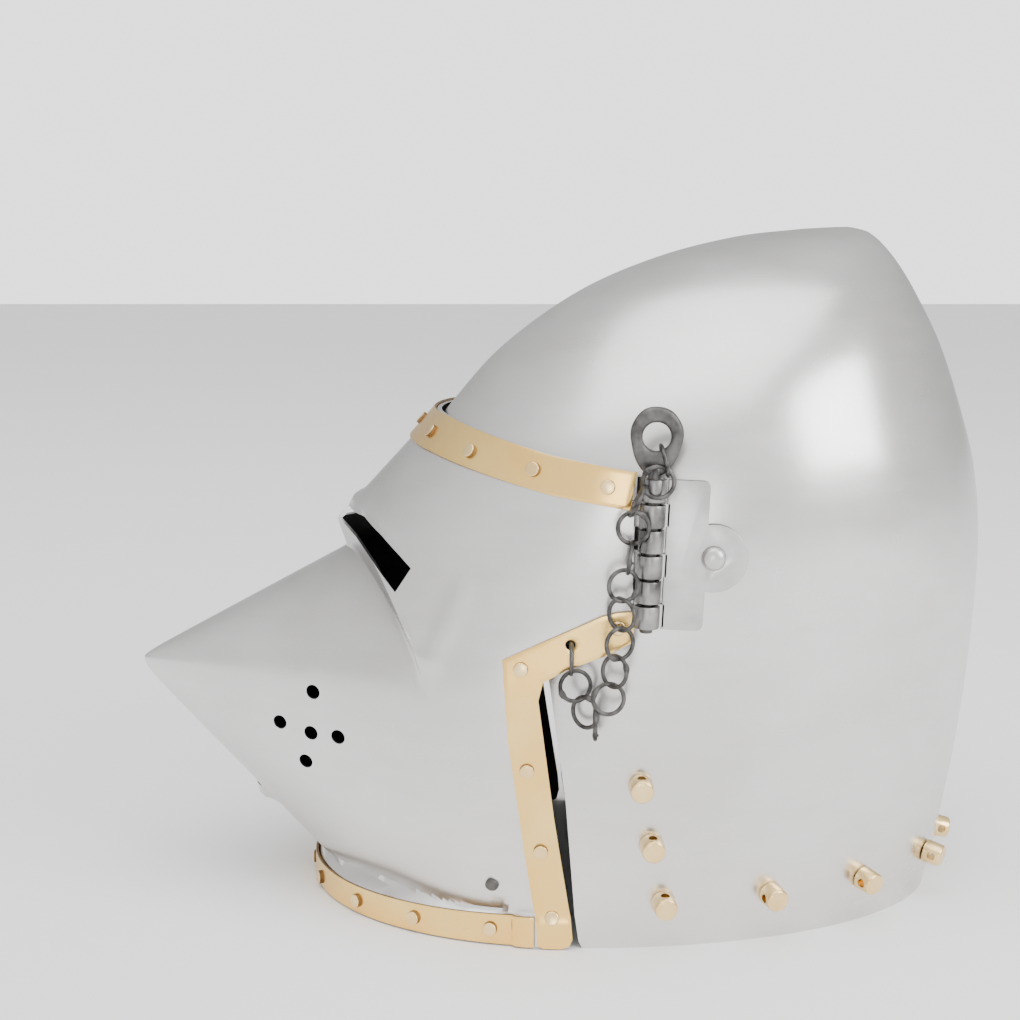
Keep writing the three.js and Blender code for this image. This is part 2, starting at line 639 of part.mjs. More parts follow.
let skullLeaf = boxBlock(
  SKULL_LEAF.front, SKULL_LEAF.back, SKULL_LEAF.bottom,
  SKULL_LEAF.top, SKULL_LEAF.inner, leafOut,
);
skullLeaf = skullLeaf.add(sideBlock(disc(PIVOT.y, PIVOT.z, SKULL_LEAF.tab, 22), SKULL_LEAF.inner, leafOut));
function uprightBlock(section, foot, top) {
  const shape = new THREE.Shape(section.map((p) => new THREE.Vector2(p.x, p.y)));
  const geometry = new THREE.ExtrudeGeometry(shape, { depth: top - foot, bevelEnabled: false });
  geometry.translate(0, 0, foot);
  return solidOf(geometry);
}
const leafEnd = VISOR_LEAF.back_x + VISOR_LEAF.thick;
const leafSection = [
  { x: VISOR_LEAF.front_x, y: VISOR_LEAF.front_y }, { x: VISOR_LEAF.back_x, y: VISOR_LEAF.back_y },
  { x: leafEnd, y: VISOR_LEAF.back_y }, { x: VISOR_LEAF.front_x + VISOR_LEAF.thick, y: VISOR_LEAF.front_y },
];
const strapSection = [
  { x: VISOR_LEAF.back_x, y: VISOR_LEAF.back_y - 1 }, { x: VISOR_LEAF.back_x, y: VISOR_LEAF.back_y + 1.4 },
  { x: 104.6, y: 30 }, { x: 106.4, y: 29.4 }, { x: 105.6, y: 28 },
  { x: leafEnd, y: VISOR_LEAF.back_y + 0.6 }, { x: leafEnd, y: VISOR_LEAF.back_y - 1 },
];
let visorLeaf = uprightBlock(leafSection, VISOR_LEAF.bottom, VISOR_LEAF.top);
for (let n = 0; n < BARREL.knuckles; n += 1) {
  const { foot, top, solid } = knuckle(n);
  if (n % 2 === 0) {
    skullLeaf = skullLeaf.add(solid).add(boxBlock(31.5, 38, foot, top, SKULL_LEAF.inner, leafOut));
  } else {
    visorLeaf = visorLeaf.add(solid).add(uprightBlock(strapSection, foot, top));
  }
}
skullLeaf = skullLeaf.subtract(pinBore);
skullLeaf = leanHinge(skullLeaf).subtract(sideBlock(disc(PIVOT.y, PIVOT.z, SKULL_LEAF.bore, 14), 90, 140));
visorLeaf = leanHinge(visorLeaf.subtract(pinBore));
SIDES.forEach(([side, place]) => addPiece(`skull_leaf_${side}`, place(skullLeaf), STEEL));
SIDES.forEach(([side, place]) => addPiece(`visor_leaf_${side}`, place(visorLeaf), STEEL));

// Draw pins
function pearOutline(rows) {
  const back = rows.map((p) => ({ y: BARREL.y + p.half, z: p.z }));
  const front = rows.slice().reverse().map((p) => ({ y: BARREL.y - p.half, z: p.z }));
  return [...back, ...front];
}
let pin = upright(PIN.radius, BARREL.y, BARREL.x, PIN.bottom, PIN.neck, 8);
pin = pin.add(sideBlock(pearOutline(PIN_EYE), BARREL.x - PIN.flat / 2, BARREL.x + PIN.flat / 2));
pin = pin.subtract(sideBlock(pearOutline(PIN_HOLE), 90, 130));
pin = leanHinge(pin);
SIDES.forEach(([side, place]) => addPiece(`hinge_pin_${side}`, place(pin), IRON));

// Pivot rivets, headed inside and out
const skullIn = onSkull(PIVOT.y, PIVOT.z).point.x - STEEL_THICK;
const headFoot = leafOut + GAP;
const innerTop = skullIn - GAP - 1;
const pivotProfile = [
  { r: 0, h: innerTop - PIVOT_RIVET.inner_thick },
  { r: PIVOT_RIVET.inner_head, h: innerTop - PIVOT_RIVET.inner_thick },
  { r: PIVOT_RIVET.inner_head, h: innerTop }, { r: PIVOT_RIVET.shank, h: innerTop },
  { r: PIVOT_RIVET.shank, h: headFoot }, { r: PIVOT_RIVET.head, h: headFoot },
  { r: PIVOT_RIVET.head * 0.8, h: headFoot + PIVOT_RIVET.rise * 0.6 },
  { r: 0, h: headFoot + PIVOT_RIVET.rise },
];
const pivotRivet = turned(pivotProfile, 10, new THREE.Vector3(0, PIVOT.y, PIVOT.z), LEFT);
SIDES.forEach(([side, place]) => addPiece(`pivot_rivet_${side}`, place(pivotRivet), STEEL));

// Chains: each ring hooks the next, joined where they bear
const ringSpots = CHAIN.map((p) => new THREE.Vector3(p.x, p.y, p.z));
function ringFrame(index) {
  const turn = (CHAIN[index].turn * Math.PI) / 180;
  const nod = (CHAIN[index].nod * Math.PI) / 180;
  const facing = new THREE.Vector3(
    Math.cos(nod) * Math.cos(turn),
    Math.cos(nod) * Math.sin(turn),
    Math.sin(nod),
  );
  const across = new THREE.Vector3(-Math.sin(turn), Math.cos(turn), 0);
  return { facing, across, up: new THREE.Vector3().crossVectors(facing, across) };
}
function ringLine(index) {
  const { across, up } = ringFrame(index);
  const line = [];
  for (let k = 0; k < 60; k += 1) {
    const angle = (k * 2 * Math.PI) / 60;
    const point = ringSpots[index].clone().addScaledVector(across, RING.radius * Math.cos(angle));
    line.push(point.addScaledVector(up, RING.radius * Math.sin(angle)));
  }
  return line;
}
function ringDistance(one, other) {
  const line = ringLine(other);
  return Math.min(...ringLine(one).map((p) => Math.min(...line.map((q) => p.distanceTo(q)))));
}
function hangFrom(from, to) {
  const way = ringSpots[to].clone().sub(ringSpots[from]).normalize();
  let near = RING.radius * 1.2;
  let far = RING.radius * 2;
  for (let n = 0; n < 16; n += 1) {
    const reach = (near + far) / 2;
    ringSpots[to].copy(ringSpots[from]).addScaledVector(way, reach);
    if (ringDistance(from, to) > RING.bear) {
      near = reach;
    } else {
      far = reach;
    }
  }
}
for (let n = 1; n < LOWEST_RING; n += 1) {
  hangFrom(n - 1, n);
}
for (let n = CHAIN.length - 2; n > LOWEST_RING; n -= 1) {
  hangFrom(n + 1, n);
}
function ringSolid(index) {
  const { facing, across, up } = ringFrame(index);
  const geometry = new THREE.TorusGeometry(RING.radius, RING.wire, RING.wire_sides, RING.sides);
  geometry.applyMatrix4(new THREE.Matrix4().makeBasis(across, up, facing));
  geometry.translate(...ringSpots[index].toArray());
  return solidOf(geometry);
}
let chain = ringSolid(0);
for (let n = 1; n < CHAIN.length; n += 1) {
  chain = chain.add(ringSolid(n));
}
SIDES.forEach(([side, place]) => addPiece(`chain_${side}`, place(chain), IRON, CHAIN_TOLERANCE));

// Vervelles round the skull's lower edge
const postProfile = [
  { r: 0, h: 0 }, { r: VERVELLE.foot, h: 0 }, { r: VERVELLE.head, h: VERVELLE.height },
  { r: 0, h: VERVELLE.height },
];
function vervelleAt(point, normal, isUpright) {
  const foot = point.clone().addScaledVector(normal, GAP);
  const post = turned(postProfile, 8, foot, normal);
  const level = new THREE.Vector3().crossVectors(new THREE.Vector3(0, 0, 1), normal).normalize();
  const bore = isUpright ? new THREE.Vector3().crossVectors(normal, level).normalize() : level;
  const middle = foot.clone().addScaledVector(normal, VERVELLE.height * 0.52).addScaledVector(bore, -8);
  const drill = [{ r: 0, h: 0 }, { r: VERVELLE.bore, h: 0 }, { r: VERVELLE.bore, h: 16 }, { r: 0, h: 16 }];
  return post.subtract(turned(drill, 6, middle, bore));
}
let vervelleCount = 1;
VERVELLES.forEach((spot) => {
  const { point, normal } = onSkull(spot.y, spot.z);
  const post = vervelleAt(point, normal, spot.upright === 1);
  [post, mirrored(post)].forEach((solid) => {
    addPiece(`vervelle_${vervelleCount}`, solid, BRASS);
    vervelleCount += 1;
  });
});
const backPlace = VERVELLE_BACK.z / 30;
const backPost = vervelleAt(skullPoint(backPlace, Math.PI), skullNormal(backPlace, Math.PI), false);
addPiece(`vervelle_${vervelleCount}`, backPost, BRASS);

export default helmet;
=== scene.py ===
import math

import bpy
import numpy as np
from mathutils import Matrix, Vector


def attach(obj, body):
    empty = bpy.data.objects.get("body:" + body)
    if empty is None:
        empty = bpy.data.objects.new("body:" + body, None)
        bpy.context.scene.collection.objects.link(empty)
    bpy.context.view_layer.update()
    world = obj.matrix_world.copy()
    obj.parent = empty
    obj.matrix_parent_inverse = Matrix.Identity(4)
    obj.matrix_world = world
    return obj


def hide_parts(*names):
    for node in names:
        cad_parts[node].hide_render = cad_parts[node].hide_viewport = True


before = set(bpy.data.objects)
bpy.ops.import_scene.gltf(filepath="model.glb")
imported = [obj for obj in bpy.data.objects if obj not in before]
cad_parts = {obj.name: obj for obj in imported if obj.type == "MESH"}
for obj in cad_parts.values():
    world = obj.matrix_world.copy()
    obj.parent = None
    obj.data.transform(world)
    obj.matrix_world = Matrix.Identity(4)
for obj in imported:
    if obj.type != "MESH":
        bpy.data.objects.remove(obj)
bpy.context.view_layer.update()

# Skull: the bowl of the helmet, raised from one sheet of mild steel to a point behind the crown.
# It is satin polished, cut away in front for the face, and everything else is carried by it.
MM = 0.001
FRAME_Y = 1.5
STEEL_THICK = 1.5
SKULL = {
    "front_y": [-100, -98, -94, -86, -73, -59, -45, -24, 8, 42, 75, 102],
    "front_z": [0, 30, 70, 115, 163, 195, 215, 237.5, 260, 274.6, 283, 286.2],
    "back_y": [163.6, 170, 176.2, 180.5, 182.1, 179.2, 172.8, 163.2, 152.4, 144.6, 137.6, 132.4],
    "back_z": [0, 30, 68, 110, 152, 184, 209, 237, 259, 272, 280.6, 285],
    "wide_y": [8, 14, 26, 42, 56, 62, 68, 76, 88, 100, 111, 120],
    "half": [98.5, 100, 102, 103.3, 103.5, 101, 95, 82, 62, 41.5, 23.5, 10],
}
SKULL_TOP_ROW = 11
APEX_Y, APEX_Z = 123, 287.2
SKULL_COLUMNS, SKULL_ROWS, CAP_SHARE, CAP_ROUND = 128, 84, 0.95, 1.5
CUT_HALF = 140
SOFT_EDGE_ANGLE = 50
FACE_OPENING = [
    (9, -5), (5, 3), (3.4, 14), (-0.4, 61), (-6, 102), (-9, 122),
    (-16, 145), (-30, 164), (-48, 177), (-68, 184), (-130, 188), (-130, -5),
]


def along(column, place):
    values = np.asarray(column, float)
    last = len(values) - 1
    i = np.clip(np.floor(place).astype(int), 0, last - 1)
    t = place - i
    a, b = values[i], values[i + 1]
    start = np.where(i == 0, b - a, (b - values[np.maximum(i - 1, 0)]) / 2)
    end = np.where(i + 1 == last, b - a, (values[np.minimum(i + 2, last)] - a) / 2)
    t2, t3 = t * t, t * t * t
    return a * (2 * t3 - 3 * t2 + 1) + start * (t3 - 2 * t2 + t) + b * (3 * t2 - 2 * t3) + end * (t3 - t2)


def skull_point(place, angle):
    front_y, front_z = along(SKULL["front_y"], place), along(SKULL["front_z"], place)
    back_y, back_z = along(SKULL["back_y"], place), along(SKULL["back_z"], place)
    wide_y = along(SKULL["wide_y"], place)
    wide_z = front_z + (wide_y - front_y) / (back_y - front_y) * (back_z - front_z)
    c = np.cos(angle)
    end_y, end_z = np.where(c > 0, front_y, back_y), np.where(c > 0, front_z, back_z)
    x = along(SKULL["half"], place) * np.sin(angle)
    return np.stack([x, wide_y + abs(c) * (end_y - wide_y), wide_z + abs(c) * (end_z - wide_z)], axis=-1)


def skull_normal(place, angle):
    step = 0.01
    low, high = np.maximum(place - step, 0), np.minimum(place + step, SKULL_TOP_ROW)
    round_ = skull_point(place, angle + step) - skull_point(place, angle - step)
    up = skull_point(high, angle) - skull_point(low, angle)
    normal = np.cross(round_, up)
    return normal / np.linalg.norm(normal, axis=-1, keepdims=True)


def new_sheet(name, columns, rows):
    bpy.ops.object.select_all(action="DESELECT")
    bpy.ops.mesh.primitive_grid_add(x_subdivisions=columns, y_subdivisions=rows, size=1)
    sheet = bpy.context.object
    sheet.name = sheet.data.name = name
    flat = np.empty(len(sheet.data.vertices) * 3)
    sheet.data.vertices.foreach_get("co", flat)
    flat = flat.reshape(-1, 3)
    return sheet, flat[:, 0] + 0.5, flat[:, 1] + 0.5


def set_points(piece, points):
    placed = (np.asarray(points, float) + [0, FRAME_Y, 0]) * MM
    piece.data.vertices.foreach_set("co", placed.astype(np.float32).ravel())
    piece.data.update()


def weld(piece):
    bpy.ops.object.mode_set(mode="EDIT")
    bpy.ops.mesh.select_all(action="SELECT")
    bpy.ops.mesh.remove_doubles(threshold=1e-6)
    bpy.ops.object.mode_set(mode="OBJECT")


def apply_modifiers(piece):
    bpy.ops.object.select_all(action="DESELECT")
    piece.select_set(True)
    bpy.context.view_layer.objects.active = piece
    for modifier in list(piece.modifiers):
        bpy.ops.object.modifier_apply(modifier=modifier.name)


def thicken(piece, thick, inner_shade_finish=0, rim_finish=0):
    wall = piece.modifiers.new("wall", "SOLIDIFY")
    wall.thickness = thick * MM
    wall.offset = -1
    # The inner shell takes the next material, the painted shade of the inside.
    wall.material_offset = inner_shade_finish
    wall.material_offset_rim = rim_finish
    apply_modifiers(piece)


def face_outward():
    bpy.ops.object.mode_set(mode="EDIT")
    bpy.ops.mesh.select_all(action="SELECT")
    bpy.ops.mesh.normals_make_consistent(inside=False)
    bpy.ops.object.mode_set(mode="OBJECT")


def block(outline, push):
    bpy.ops.object.select_all(action="DESELECT")
    bpy.ops.mesh.primitive_circle_add(vertices=len(outline), radius=1, fill_type="NGON")
    solid = bpy.context.object
    set_points(solid, outline)
    bpy.ops.object.mode_set(mode="EDIT")
    bpy.ops.mesh.select_all(action="SELECT")
    bpy.ops.mesh.extrude_region_move(TRANSFORM_OT_translate={"value": push})
    bpy.ops.object.mode_set(mode="OBJECT")
    face_outward()
    return solid


def side_block(outline, x_from, x_to):
    return block([(x_from, y, z) for y, z in outline], ((x_to - x_from) * MM, 0, 0))


def cut(piece, cutter, operation="DIFFERENCE"):
    saw = piece.modifiers.new("cut", "BOOLEAN")
    saw.operation = operation
    saw.object = cutter
    saw.solver = "EXACT"
    apply_modifiers(piece)
    bpy.data.objects.remove(cutter)


def soften_edges(piece, width, segments=2):
    edge = piece.modifiers.new("edge", "BEVEL")
    edge.width = width * MM
    edge.segments = segments
    edge.limit_method = "ANGLE"
    edge.angle_limit = math.radians(SOFT_EDGE_ANGLE)
    apply_modifiers(piece)


def smooth(piece, degrees=38):
    bpy.ops.object.select_all(action="DESELECT")
    piece.select_set(True)
    bpy.context.view_layer.objects.active = piece
    bpy.ops.object.shade_smooth_by_angle(angle=math.radians(degrees))


def circle(y, z, radius, sides):
    turns = [(k + 0.5) * 2 * math.pi / sides for k in range(sides)]
    return [(y + radius * math.cos(t), z + radius * math.sin(t)) for t in turns]


STREAK_SHARE, SHADE_LOW, SHADE_HIGH = 0.22, 0.34, 0.66
ROUGH_LOW, ROUGH_HIGH, BUMP_DEEP = 0.3, 0.7, 0.0004


def metal(name, dark, light, rough_low, rough_high, grain, cloud, bump, bump_scale):
    finish = bpy.data.materials.new(name)
    finish.use_nodes = True
    nodes, links = finish.node_tree.nodes, finish.node_tree.links
    shader = nodes["Principled BSDF"]
    shader.inputs["Metallic"].default_value = 1.0
    where = nodes.new("ShaderNodeTexCoord")
    stretch = nodes.new("ShaderNodeMapping")
    stretch.inputs["Scale"].default_value = grain
    links.new(where.outputs["Object"], stretch.inputs["Vector"])
    streaks = nodes.new("ShaderNodeTexNoise")
    streaks.inputs["Scale"].default_value = 1.0
    streaks.inputs["Detail"].default_value = 4.0
    links.new(stretch.outputs["Vector"], streaks.inputs["Vector"])
    clouds = nodes.new("ShaderNodeTexNoise")
    clouds.inputs["Scale"].default_value = cloud
    clouds.inputs["Detail"].default_value = 3.0
    links.new(where.outputs["Object"], clouds.inputs["Vector"])
    mixed = nodes.new("ShaderNodeMath")
    mixed.operation = "MULTIPLY_ADD"
    mixed.inputs[1].default_value = STREAK_SHARE
    links.new(streaks.outputs["Fac"], mixed.inputs[0])
    cloud_part = nodes.new("ShaderNodeMath")
    cloud_part.operation = "MULTIPLY"
    cloud_part.inputs[1].default_value = 1 - STREAK_SHARE
    links.new(clouds.outputs["Fac"], cloud_part.inputs[0])
    links.new(cloud_part.outputs[0], mixed.inputs[2])
    ramp = nodes.new("ShaderNodeValToRGB")
    ramp.color_ramp.elements[0].position = SHADE_LOW
    ramp.color_ramp.elements[0].color = (*dark, 1)
    ramp.color_ramp.elements[1].position = SHADE_HIGH
    ramp.color_ramp.elements[1].color = (*light, 1)
    links.new(mixed.outputs[0], ramp.inputs["Fac"])
    links.new(ramp.outputs["Color"], shader.inputs["Base Color"])
    rough = nodes.new("ShaderNodeMapRange")
    rough.inputs["From Min"].default_value = ROUGH_LOW
    rough.inputs["From Max"].default_value = ROUGH_HIGH
    rough.inputs["To Min"].default_value = rough_low
    rough.inputs["To Max"].default_value = rough_high
    links.new(mixed.outputs[0], rough.inputs["Value"])
    links.new(rough.outputs["Result"], shader.inputs["Roughness"])
    fine = nodes.new("ShaderNodeTexNoise")
    fine.inputs["Scale"].default_value = bump_scale
    fine.inputs["Detail"].default_value = 3.0
    links.new(where.outputs["Object"], fine.inputs["Vector"])
    relief = nodes.new("ShaderNodeBump")
    relief.inputs["Strength"].default_value = bump
    relief.inputs["Distance"].default_value = BUMP_DEEP
    links.new(fine.outputs["Fac"], relief.inputs["Height"])
    links.new(relief.outputs["Normal"], shader.inputs["Normal"])
    return finish


satin_steel = metal(
    "satin_steel", (0.66, 0.645, 0.63), (0.77, 0.758, 0.745), 0.24, 0.33,
    (30, 30, 150), 13.0, 0.05, 260.0,
)
# Painted shade: the inner shell of the skull and visor is near-black steel, standing in for the shade inside the
# helmet.
shaded_inside_steel = metal(
    "shaded_inside_steel", (0.035, 0.034, 0.033), (0.075, 0.073, 0.07), 0.5, 0.7,
    (30, 30, 60), 20.0, 0.2, 200.0,
)
skull, round_share, up_share = new_sheet("skull_bowl", SKULL_COLUMNS, SKULL_ROWS)
turn = (round_share * 2 - 1) * math.pi
points = skull_point(np.minimum(up_share / CAP_SHARE, 1) * SKULL_TOP_ROW, turn)
cap = np.clip((up_share - CAP_SHARE) / (1 - CAP_SHARE), 0, 1)[:, None]
apex = np.array([0, APEX_Y, APEX_Z])
points = apex + (points - apex) * np.concatenate([1 - cap, 1 - cap, (1 - cap) ** CAP_ROUND], axis=1)
set_points(skull, points)
weld(skull)
skull.data.materials.append(satin_steel)
skull.data.materials.append(shaded_inside_steel)
thicken(skull, STEEL_THICK, inner_shade_finish=1)
cut(skull, side_block(FACE_OPENING, -CUT_HALF, CUT_HALF))
PIVOT_Y, PIVOT_Z, PIVOT_BORE = 56, 160.3, 3.35
cut(skull, side_block(circle(PIVOT_Y, PIVOT_Z, PIVOT_BORE, 24), -CUT_HALF, CUT_HALF))
smooth(skull)
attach(skull, "skull")
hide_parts("skull")

# Visor: the pointed face plate, beaten from sheet steel with a raised lip under each eye slot.
# It has eye slots, five breaths on each side, and a narrow mouth slit under the snout.
FACE = {
    "z": [0, 40, 80, 113, 140, 160, 180, 197, 213],
    "front_y": [-84, -98, -124, -139.6, -116.1, -98.7, -80.4, -64.8, -50.9],
    "mid_y": [2, 8, 14, 18, 20, 22, 25, 28, 31],
    "half": [97, 98.5, 101.5, 104, 105.5, 106.2, 106, 105.2, 104],
}
SNOUT_TIP_Y, SNOUT_TIP_Z, SNOUT_BLUNT = -190.2, 97, 4.2
SNOUT_UP, SNOUT_DOWN, SNOUT_SIDE, SNOUT_FULL = 0.528, 1.0, 0.71, 2.2
CHEEK_HALF, CHEEK_SOFT = 103, 16
RIDGE_Y, RIDGE_Z, RIDGE_DROP, RIDGE_SIDE = -98.8, 160, 0.34, 0.27
COLLAR_FRONT, COLLAR_HALF, COLLAR_TOP, COLLAR_FLARE, COLLAR_BLEND = -108.5, 97, 12.4, 2.4, 2
COLLAR_LEAST, COLLAR_JOIN, REAR_LENGTH = 20, 3, 130
CHEEK_BLEND, VALLEY_BLEND = 9, 2
LIP_SEARCH, VALLEY_SEARCH, LIP_LEAST = (112.0, 176.0), (60.0, 170.0), 2.5
COLUMN_EASE, LOWER_EASE, NOSE_EASE = 1.6, 1.5, 1.4
VISOR_TOP, VISOR_TURN = 213, 99
VISOR_COLUMNS, LOWER_ROWS, NOSE_ROWS, LIP_ROWS, BROW_ROWS, TIP_SHARE = 156, 62, 20, 8, 30, 0.665
EYE_SLOT = [
    (-91.6, 167), (-83.3, 166.9), (-74.8, 162), (-67.1, 156.1), (-62.1, 151.8),
    (-68.6, 141.9), (-78, 151.6), (-87.4, 158.1), (-100, 161.6),
]
EYE_BRIDGE, EYE_TOP_POINTS = 2.5, 5
BREATHS = [(-104.2, 96.3), (-119.6, 80.3), (-105.5, 78.3), (-93.4, 79), (-108.3, 64.9)]
BREATH_RADIUS = 3
MOUTH_Y, MOUTH_Z, MOUTH_TALL, MOUTH_HALF, MOUTH_DEEP = -137.5, 43.4, 3.4, 15, 9
CHIN_Z, CHIN_TALL, CHIN_HALF, CHIN_RISE, CHIN_BACK = 38.6, 3.2, 14, 4.2, -100
FOLD = [(-54.1, 117), (-47.3, 131.7), (-40.6, 146.4)]
FOLD_RISE, FOLD_WIDE = 1.5, 3.6
SLOT_LIP_RISE, SLOT_LIP_OFF, SLOT_LIP_WIDE = 1.5, 2.2, 1.8
SLOT_LIP_END, SLOT_LIP_FADE = -64, 22
# Painted shade: the facet under each eye lip and a soft band below the valley are darkened in the visor's
# colour, standing in for the shade there.
PAINTED_SHADE_COLOUR, PAINTED_SHADE_SHARE, TABLE_STEPS = (0.30, 0.292, 0.287), 0.85, 200
FACET_FOOT, FACET_START, FACET_EDGE, FACET_LOWEST = 3, 0.6, 2, 104
FACET_LEAST, FACET_FADE, UNDER_SHARE, UNDER_FADE = 2.6, 8, 0.5, 7
BROW_TOP = [(-70, 209.3), (-55.8, 209.3), (-47, 208.8), (-34, 205.8), (-6.8, 199.3), (25, 193.9)]
VISOR_REAR = [
    (25, 127.8), (14.1, 122.2), (-3.1, 115.6), (-8.5, 112.8), (-11.3, 109.4), (-11.7, 104.2),
    (-5.3, 55.7), (1.5, 13.2), (2.2, 4.8), (1.2, 0.8), (-2, -1), (-220, -1), (-220, 209.3),
]
CHAIN_HOLE_Y, CHAIN_HOLE_Z, CHAIN_HOLE_RADIUS = 0.9, 126.4, 2


def at_height(column, z):
    heights, values = np.asarray(FACE["z"], float), np.asarray(FACE[column], float)
    last = len(heights) - 1
    i = np.clip(np.searchsorted(heights, z, side="left") - 1, 0, last - 1)
    rise = heights[i + 1] - heights[i]

    def slope(k):
        low, high = np.maximum(k - 1, 0), np.minimum(k + 1, last)
        return (values[high] - values[low]) / (heights[high] - heights[low])

    t = (z - heights[i]) / rise
    t2, t3 = t * t, t * t * t
    ends = values[i] * (2 * t3 - 3 * t2 + 1) + values[i + 1] * (3 * t2 - 2 * t3)
    return ends + rise * (slope(i) * (t3 - 2 * t2 + t) + slope(i + 1) * (t3 - t2))


def soft_max(a, b, blend):
    near = np.maximum(blend - abs(a - b), 0) / blend
    return np.maximum(a, b) + near * near * blend * 0.25


def snout_reach(angle, z):
    mid, s, c, h = at_height("mid_y", z), abs(np.sin(angle)), np.cos(angle), z - SNOUT_TIP_Z
    slope = np.where(h > 0, SNOUT_UP, SNOUT_DOWN)
    low, high = np.zeros_like(angle), np.full_like(angle, 260.0)
    for _ in range(34):
        r = (low + high) / 2
        q = np.maximum(mid - r * c - SNOUT_TIP_Y, 0.01)
        half = -soft_max(-SNOUT_SIDE * q, np.full_like(q, -CHEEK_HALF), CHEEK_SOFT)
        share = (r * s / half) ** SNOUT_FULL + (abs(h) / (slope * q)) ** SNOUT_FULL
        outside = np.hypot(q * share ** (1 / SNOUT_FULL), SNOUT_BLUNT) > q
        high, low = np.where(outside, r, high), np.where(outside, low, r)
    return low


def wall_reach(angle, z):
    length = at_height("mid_y", z) - at_height("front_y", z)
    long = np.where(np.cos(angle) > 0, length, REAR_LENGTH)
    return 1 / np.hypot(np.sin(angle) / at_height("half", z), np.cos(angle) / long)


def ridge_reach(angle, z):
    foot = RIDGE_Y + RIDGE_DROP * (RIDGE_Z - z)
    lean = np.cos(angle) + RIDGE_SIDE * abs(np.sin(angle))
    return (at_height("mid_y", z) - foot) / np.maximum(lean, 0.05)


def collar_reach(angle, z):
    over = soft_max(z - COLLAR_TOP, np.zeros_like(z), COLLAR_BLEND) * COLLAR_FLARE
    free_length, free_half = -COLLAR_FRONT - over, COLLAR_HALF - over
    length, half = np.maximum(free_length, COLLAR_LEAST), np.maximum(free_half, COLLAR_LEAST)
    shift = at_height("mid_y", z) / length
    s, c = np.sin(angle) / half, np.cos(angle) / length
    a, b, k = s * s + c * c, -c * shift, shift ** 2 - 1
    reach = (-b + np.sqrt(np.maximum(b * b - a * k, 0))) / a
    return np.where((free_length < COLLAR_LEAST) | (free_half < COLLAR_LEAST), 0, reach)


def visor_point(angle, z):
    angle, z = np.broadcast_arrays(np.asarray(angle, float), np.asarray(z, float))
    snout = soft_max(snout_reach(angle, z), collar_reach(angle, z), COLLAR_JOIN)
    cheek = soft_max(snout, wall_reach(angle, z), CHEEK_BLEND)
    valley = soft_max(snout, ridge_reach(angle, z), VALLEY_BLEND)
    reach = np.minimum(cheek, valley)
    return np.stack([reach * np.sin(angle), at_height("mid_y", z) - reach * np.cos(angle), z], axis=-1)


def visor_normal(angle, z):
    turn_step, rise = 0.006, 0.6
    round_ = visor_point(angle + turn_step, z) - visor_point(angle - turn_step, z)
    up = visor_point(angle, z + rise) - visor_point(angle, z - rise)
    normal = np.cross(round_, up)
    return normal / np.linalg.norm(normal, axis=-1, keepdims=True)


def on_visor(y, z):
    y, z = np.asarray(y, float), np.asarray(z, float)
    low, high = np.zeros_like(z), np.full_like(z, 1.7)
    for _ in range(30):
        angle = (low + high) / 2
        short = visor_point(angle, z)[..., 1] < y
        low, high = np.where(short, angle, low), np.where(short, high, angle)
    return np.where(low < 0.002, 0, low)


def line_distance(line, y, z):
    nearest = np.full_like(y, 1e6)
    for (y0, z0), (y1, z1) in zip(line, line[1:]):
        run, rise = y1 - y0, z1 - z0
        t = np.clip(((y - y0) * run + (z - z0) * rise) / (run * run + rise * rise), 0, 1)
        nearest = np.minimum(nearest, np.hypot(y - y0 - t * run, z - z0 - t * rise))
    return nearest


def hammered_relief(points):
    x, y, z = points.T
    chin = CHIN_RISE * np.exp(-((z - CHIN_Z) / CHIN_TALL) ** 2 - (x / CHIN_HALF) ** 4) * (y < CHIN_BACK)
    fold = FOLD_RISE * np.exp(-((line_distance(FOLD, y, z) / FOLD_WIDE) ** 2))
    upper_edge = EYE_SLOT[:EYE_TOP_POINTS]
    above = np.interp(y, [q[0] for q in upper_edge], [q[1] for q in upper_edge])
    off_edge = (line_distance(upper_edge, y, z) - SLOT_LIP_OFF) / SLOT_LIP_WIDE
    rim = np.exp(-(off_edge ** 2)) * (z > above)
    return chin + fold + SLOT_LIP_RISE * rim * np.clip((SLOT_LIP_END - y) / SLOT_LIP_FADE, 0, 1)


def crossing(angle, search, first, second):
    low, high = np.full_like(angle, search[0]), np.full_like(angle, search[1])
    for _ in range(34):
        z = (low + high) / 2
        over = first(angle, z) > second(angle, z)
        low, high = np.where(over, z, low), np.where(over, high, z)
    return low


def lip_and_valley(angle):
    lip = crossing(angle, LIP_SEARCH, wall_reach, ridge_reach)
    return lip, np.minimum(crossing(angle, VALLEY_SEARCH, snout_reach, ridge_reach), lip - LIP_LEAST)


def eased(count, power, reverse):
    share = np.linspace(0, 1, count + 1)[1:]
    return 1 - (1 - share) ** power if reverse else share ** power


